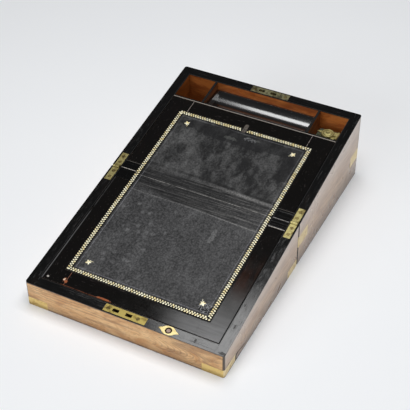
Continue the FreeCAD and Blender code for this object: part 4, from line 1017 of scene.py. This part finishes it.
def tab_piece():
    """The tab as a closed strip, rounded at both ends."""
    bm = bmesh.new()
    across, along = 10, 24
    rows = []
    for row in range(along + 1):
        share = row / along
        s = tab_start + (tab_end - tab_start) * share
        rounding = max(0.0, share - (1 - tab_end_round)) / tab_end_round
        start_rounding = max(0.0, tab_start_round - share) / tab_start_round
        half = tab_half * math.sqrt(max(0.05, 1 - rounding ** 2)) * (1 - 0.3 * start_rounding)
        half *= 1 - 0.1 * math.sin(math.pi * share)
        n = leather_level + 0.08 + 0.22 * share ** 3 + 0.05 * math.sin(9 * share)
        top, under = [], []
        for column in range(across + 1):
            side = 2 * column / across - 1
            x = tab_middle + half * side + 0.25 * ripple(side * 3, share * 6, 4)
            crown = 0.05 * (1 - side ** 4)
            top.append(bm.verts.new(on_slope(x, s, n + tab_thick + crown)))
            under.append(bm.verts.new(on_slope(x, s, n)))
        rows.append((top, under))
    for (top, under), (next_top, next_under) in zip(rows, rows[1:]):
        for column in range(across):
            bm.faces.new([top[column], top[column + 1], next_top[column + 1], next_top[column]])
            bm.faces.new([under[column], next_under[column], next_under[column + 1], under[column + 1]])
        bm.faces.new([top[0], next_top[0], next_under[0], under[0]])
        bm.faces.new([top[-1], under[-1], next_under[-1], next_top[-1]])
    for top, under in (rows[0], rows[-1]):
        for column in range(across):
            bm.faces.new([top[column], under[column], under[column + 1], top[column + 1]])
    return new_piece("leather_pull_tab", bm, tab_leather("tab leather"))


pull_tab = tab_piece()
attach(pull_tab, "upper_flap")
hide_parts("pull_tab")

# Materials of the CAD nodes. A brass has a clean and a dull tone, a share of tarnish, a roughness, a share of
# metal and a strength of the painted shade line at its edges; the corner brass also has paler side tones, a
# painted sheen.

finishes = (
    (case_wall("walnut case, grain across", ALONG_X),
     "base_bottom_board lid_top_board base_front_wall base_back_wall lid_front_wall lid_back_wall"),
    (case_wall("walnut case, grain along", ALONG_Y),
     "base_left_wall base_right_wall lid_left_wall lid_right_wall"),
    (inner_wood("mahogany, grain across", ALONG_X, MAHOGANY), "compartment_floor tray_bearers"),
    (inner_wood("mahogany, grain along", ALONG_Y, MAHOGANY), "left_divider right_divider"),
    # The ledges are painted near black as shade in the flaps' gaps.
    (inner_wood("ledge darkened as painted shade", ALONG_Y, LEDGE_SHADE_DARK), "base_flap_ledges lid_flap_ledges"),
    (partition_wood("partition"), "compartment_partition"),
    (flap_wood("ebonised flap, grain across", ALONG_X), "upper_flap_board lower_flap_board"),
    (flap_wood("ebonised flap, grain along", ALONG_Y),
     "upper_flap_left_cleat upper_flap_right_cleat lower_flap_left_cleat lower_flap_right_cleat"),
    (black_gloss("black tray"), "pen_tray"),
    (old_brass("corner brass", (236, 208, 136), (198, 162, 90), 0.36, 0.34, 0.75, 0.3,
               aside=((238, 218, 172), (212, 184, 132))),
     "lid_corner_back_left lid_corner_back_right"),
    (old_brass("strap brass", (236, 216, 168), (204, 174, 120), 0.34, 0.36, 0.6, 0.4),
     "lid_corner_front_left lid_corner_front_right base_strap_front_left base_strap_front_right "
     "base_strap_back_left base_strap_back_right"),
    (old_brass("plate brass", (224, 206, 148), (184, 160, 100), 0.4, 0.38, 0.75, 0.45),
     "keyhole_plate flap_lock_plate"),
    (old_brass("strike brass", (168, 151, 86), (118, 100, 52), 0.4, 0.4, 0.9, 0.85), "strike_plate"),
    (old_brass("hinge brass", (182, 172, 118), (116, 102, 62), 0.5, 0.34, 1.0, 0.6),
     "base_left_hinge_leaf base_right_hinge_leaf lid_left_hinge_leaf lid_right_hinge_leaf"),
    (old_brass("screw brass", (150, 134, 88), (78, 66, 40), 0.5, 0.34, 1.0, 0.9),
     "base_brass_screws lid_brass_screws"),
    (old_brass("inkwell brass", (204, 194, 132), (140, 128, 76), 0.45, 0.36, 0.6, 0.3, rings=(2.5, 6.8, 9.7)),
     "inkwell_cap inkwell_collar"),
    (old_brass("selvedge brass", (140, 136, 104), (76, 72, 54), 0.6, 0.42, 0.9, 0.7), "lock_selvedge_plate"),
    (old_brass("dull brass", (132, 114, 70), (56, 50, 35), 0.75, 0.42, 1.0, 0.6),
     "lock_case flap_lock_case lock_hook_bolt flap_lock_bolt"),
    (worn_steel("worn steel", (150, 146, 140), (104, 76, 56), 1.0), "hinge_pins lock_drill_pin inkwell_pin"),
    (worn_steel("browned steel", (196, 170, 156), (158, 126, 108), 0.3), "flap_lock_pin"),
    (bottle_glass("bottle glass"), "inkwell_bottle"),
    (cap_pad("cap pad"), "inkwell_cap_pad"),
)
for material, names in finishes:
    for name in names.split():
        mesh = nodes[name].data
        mesh.materials.clear()
        mesh.materials.append(material)

# Floor, light and camera, in metres

floor_half = 6
floor_mesh = bpy.data.meshes.new("floor")
floor_mesh.from_pydata([(-floor_half, -floor_half, 0), (floor_half, -floor_half, 0),
                        (floor_half, floor_half, 0), (-floor_half, floor_half, 0)], [], [(0, 1, 2, 3)])
floor_mesh.materials.append(floor_paint("pale floor"))
floor = add_object("floor", floor_mesh)


def softbox(name, place, target, width, depth, power):
    """A rectangular lamp that looks at a target."""
    lamp = bpy.data.lights.new(name, "AREA")
    lamp.shape = "RECTANGLE"
    lamp.size = width
    lamp.size_y = depth
    lamp.energy = power
    box = add_object(name, lamp)
    box.location = place
    box.rotation_mode = "QUATERNION"
    box.rotation_quaternion = (Vector(target) - Vector(place)).to_track_quat("-Z", "Y")


softbox("far softbox", place=(0.085, 0.47, 2.4), target=(0.085, 0.471, 0.0),
        width=1.93, depth=0.94, power=29.5)
softbox("near softbox", place=(0.33, -0.49, 2.4), target=(0.33, -0.489, 0.0),
        width=1.46, depth=0.98, power=23)
softbox("front fill", place=(-0.7, -2.6, 1.1), target=(0.0, -0.2, 0.05),
        width=2.0, depth=1.2, power=27)

world = bpy.data.worlds.new("studio")
world.use_nodes = True
background = world.node_tree.nodes["Background"].inputs
background["Color"].default_value = (0.95, 0.97, 1.0, 1.0)
background["Strength"].default_value = 0.06
bpy.context.scene.world = world

view_target = Vector((-0.0268, 0.0594, 0.0))
view_distance = 1.6608
view_azimuth = math.radians(27.156)
view_elevation = math.radians(40.579)
view_roll = math.radians(-0.385)
towards_camera = Vector((math.sin(view_azimuth) * math.cos(view_elevation),
                         -math.cos(view_azimuth) * math.cos(view_elevation), math.sin(view_elevation)))
camera_data = bpy.data.cameras.new("camera")
camera_data.sensor_width = 36
camera_data.lens = 94.37
camera = add_object("camera", camera_data)
camera.location = view_target + towards_camera * view_distance
camera.rotation_mode = "QUATERNION"
camera.rotation_quaternion = ((-towards_camera).to_track_quat("-Z", "Y")
                              @ Quaternion((0, 0, 1), view_roll))
bpy.context.scene.camera = camera
bpy.context.scene.view_settings.view_transform = "Standard"

bpy.context.view_layer.update()
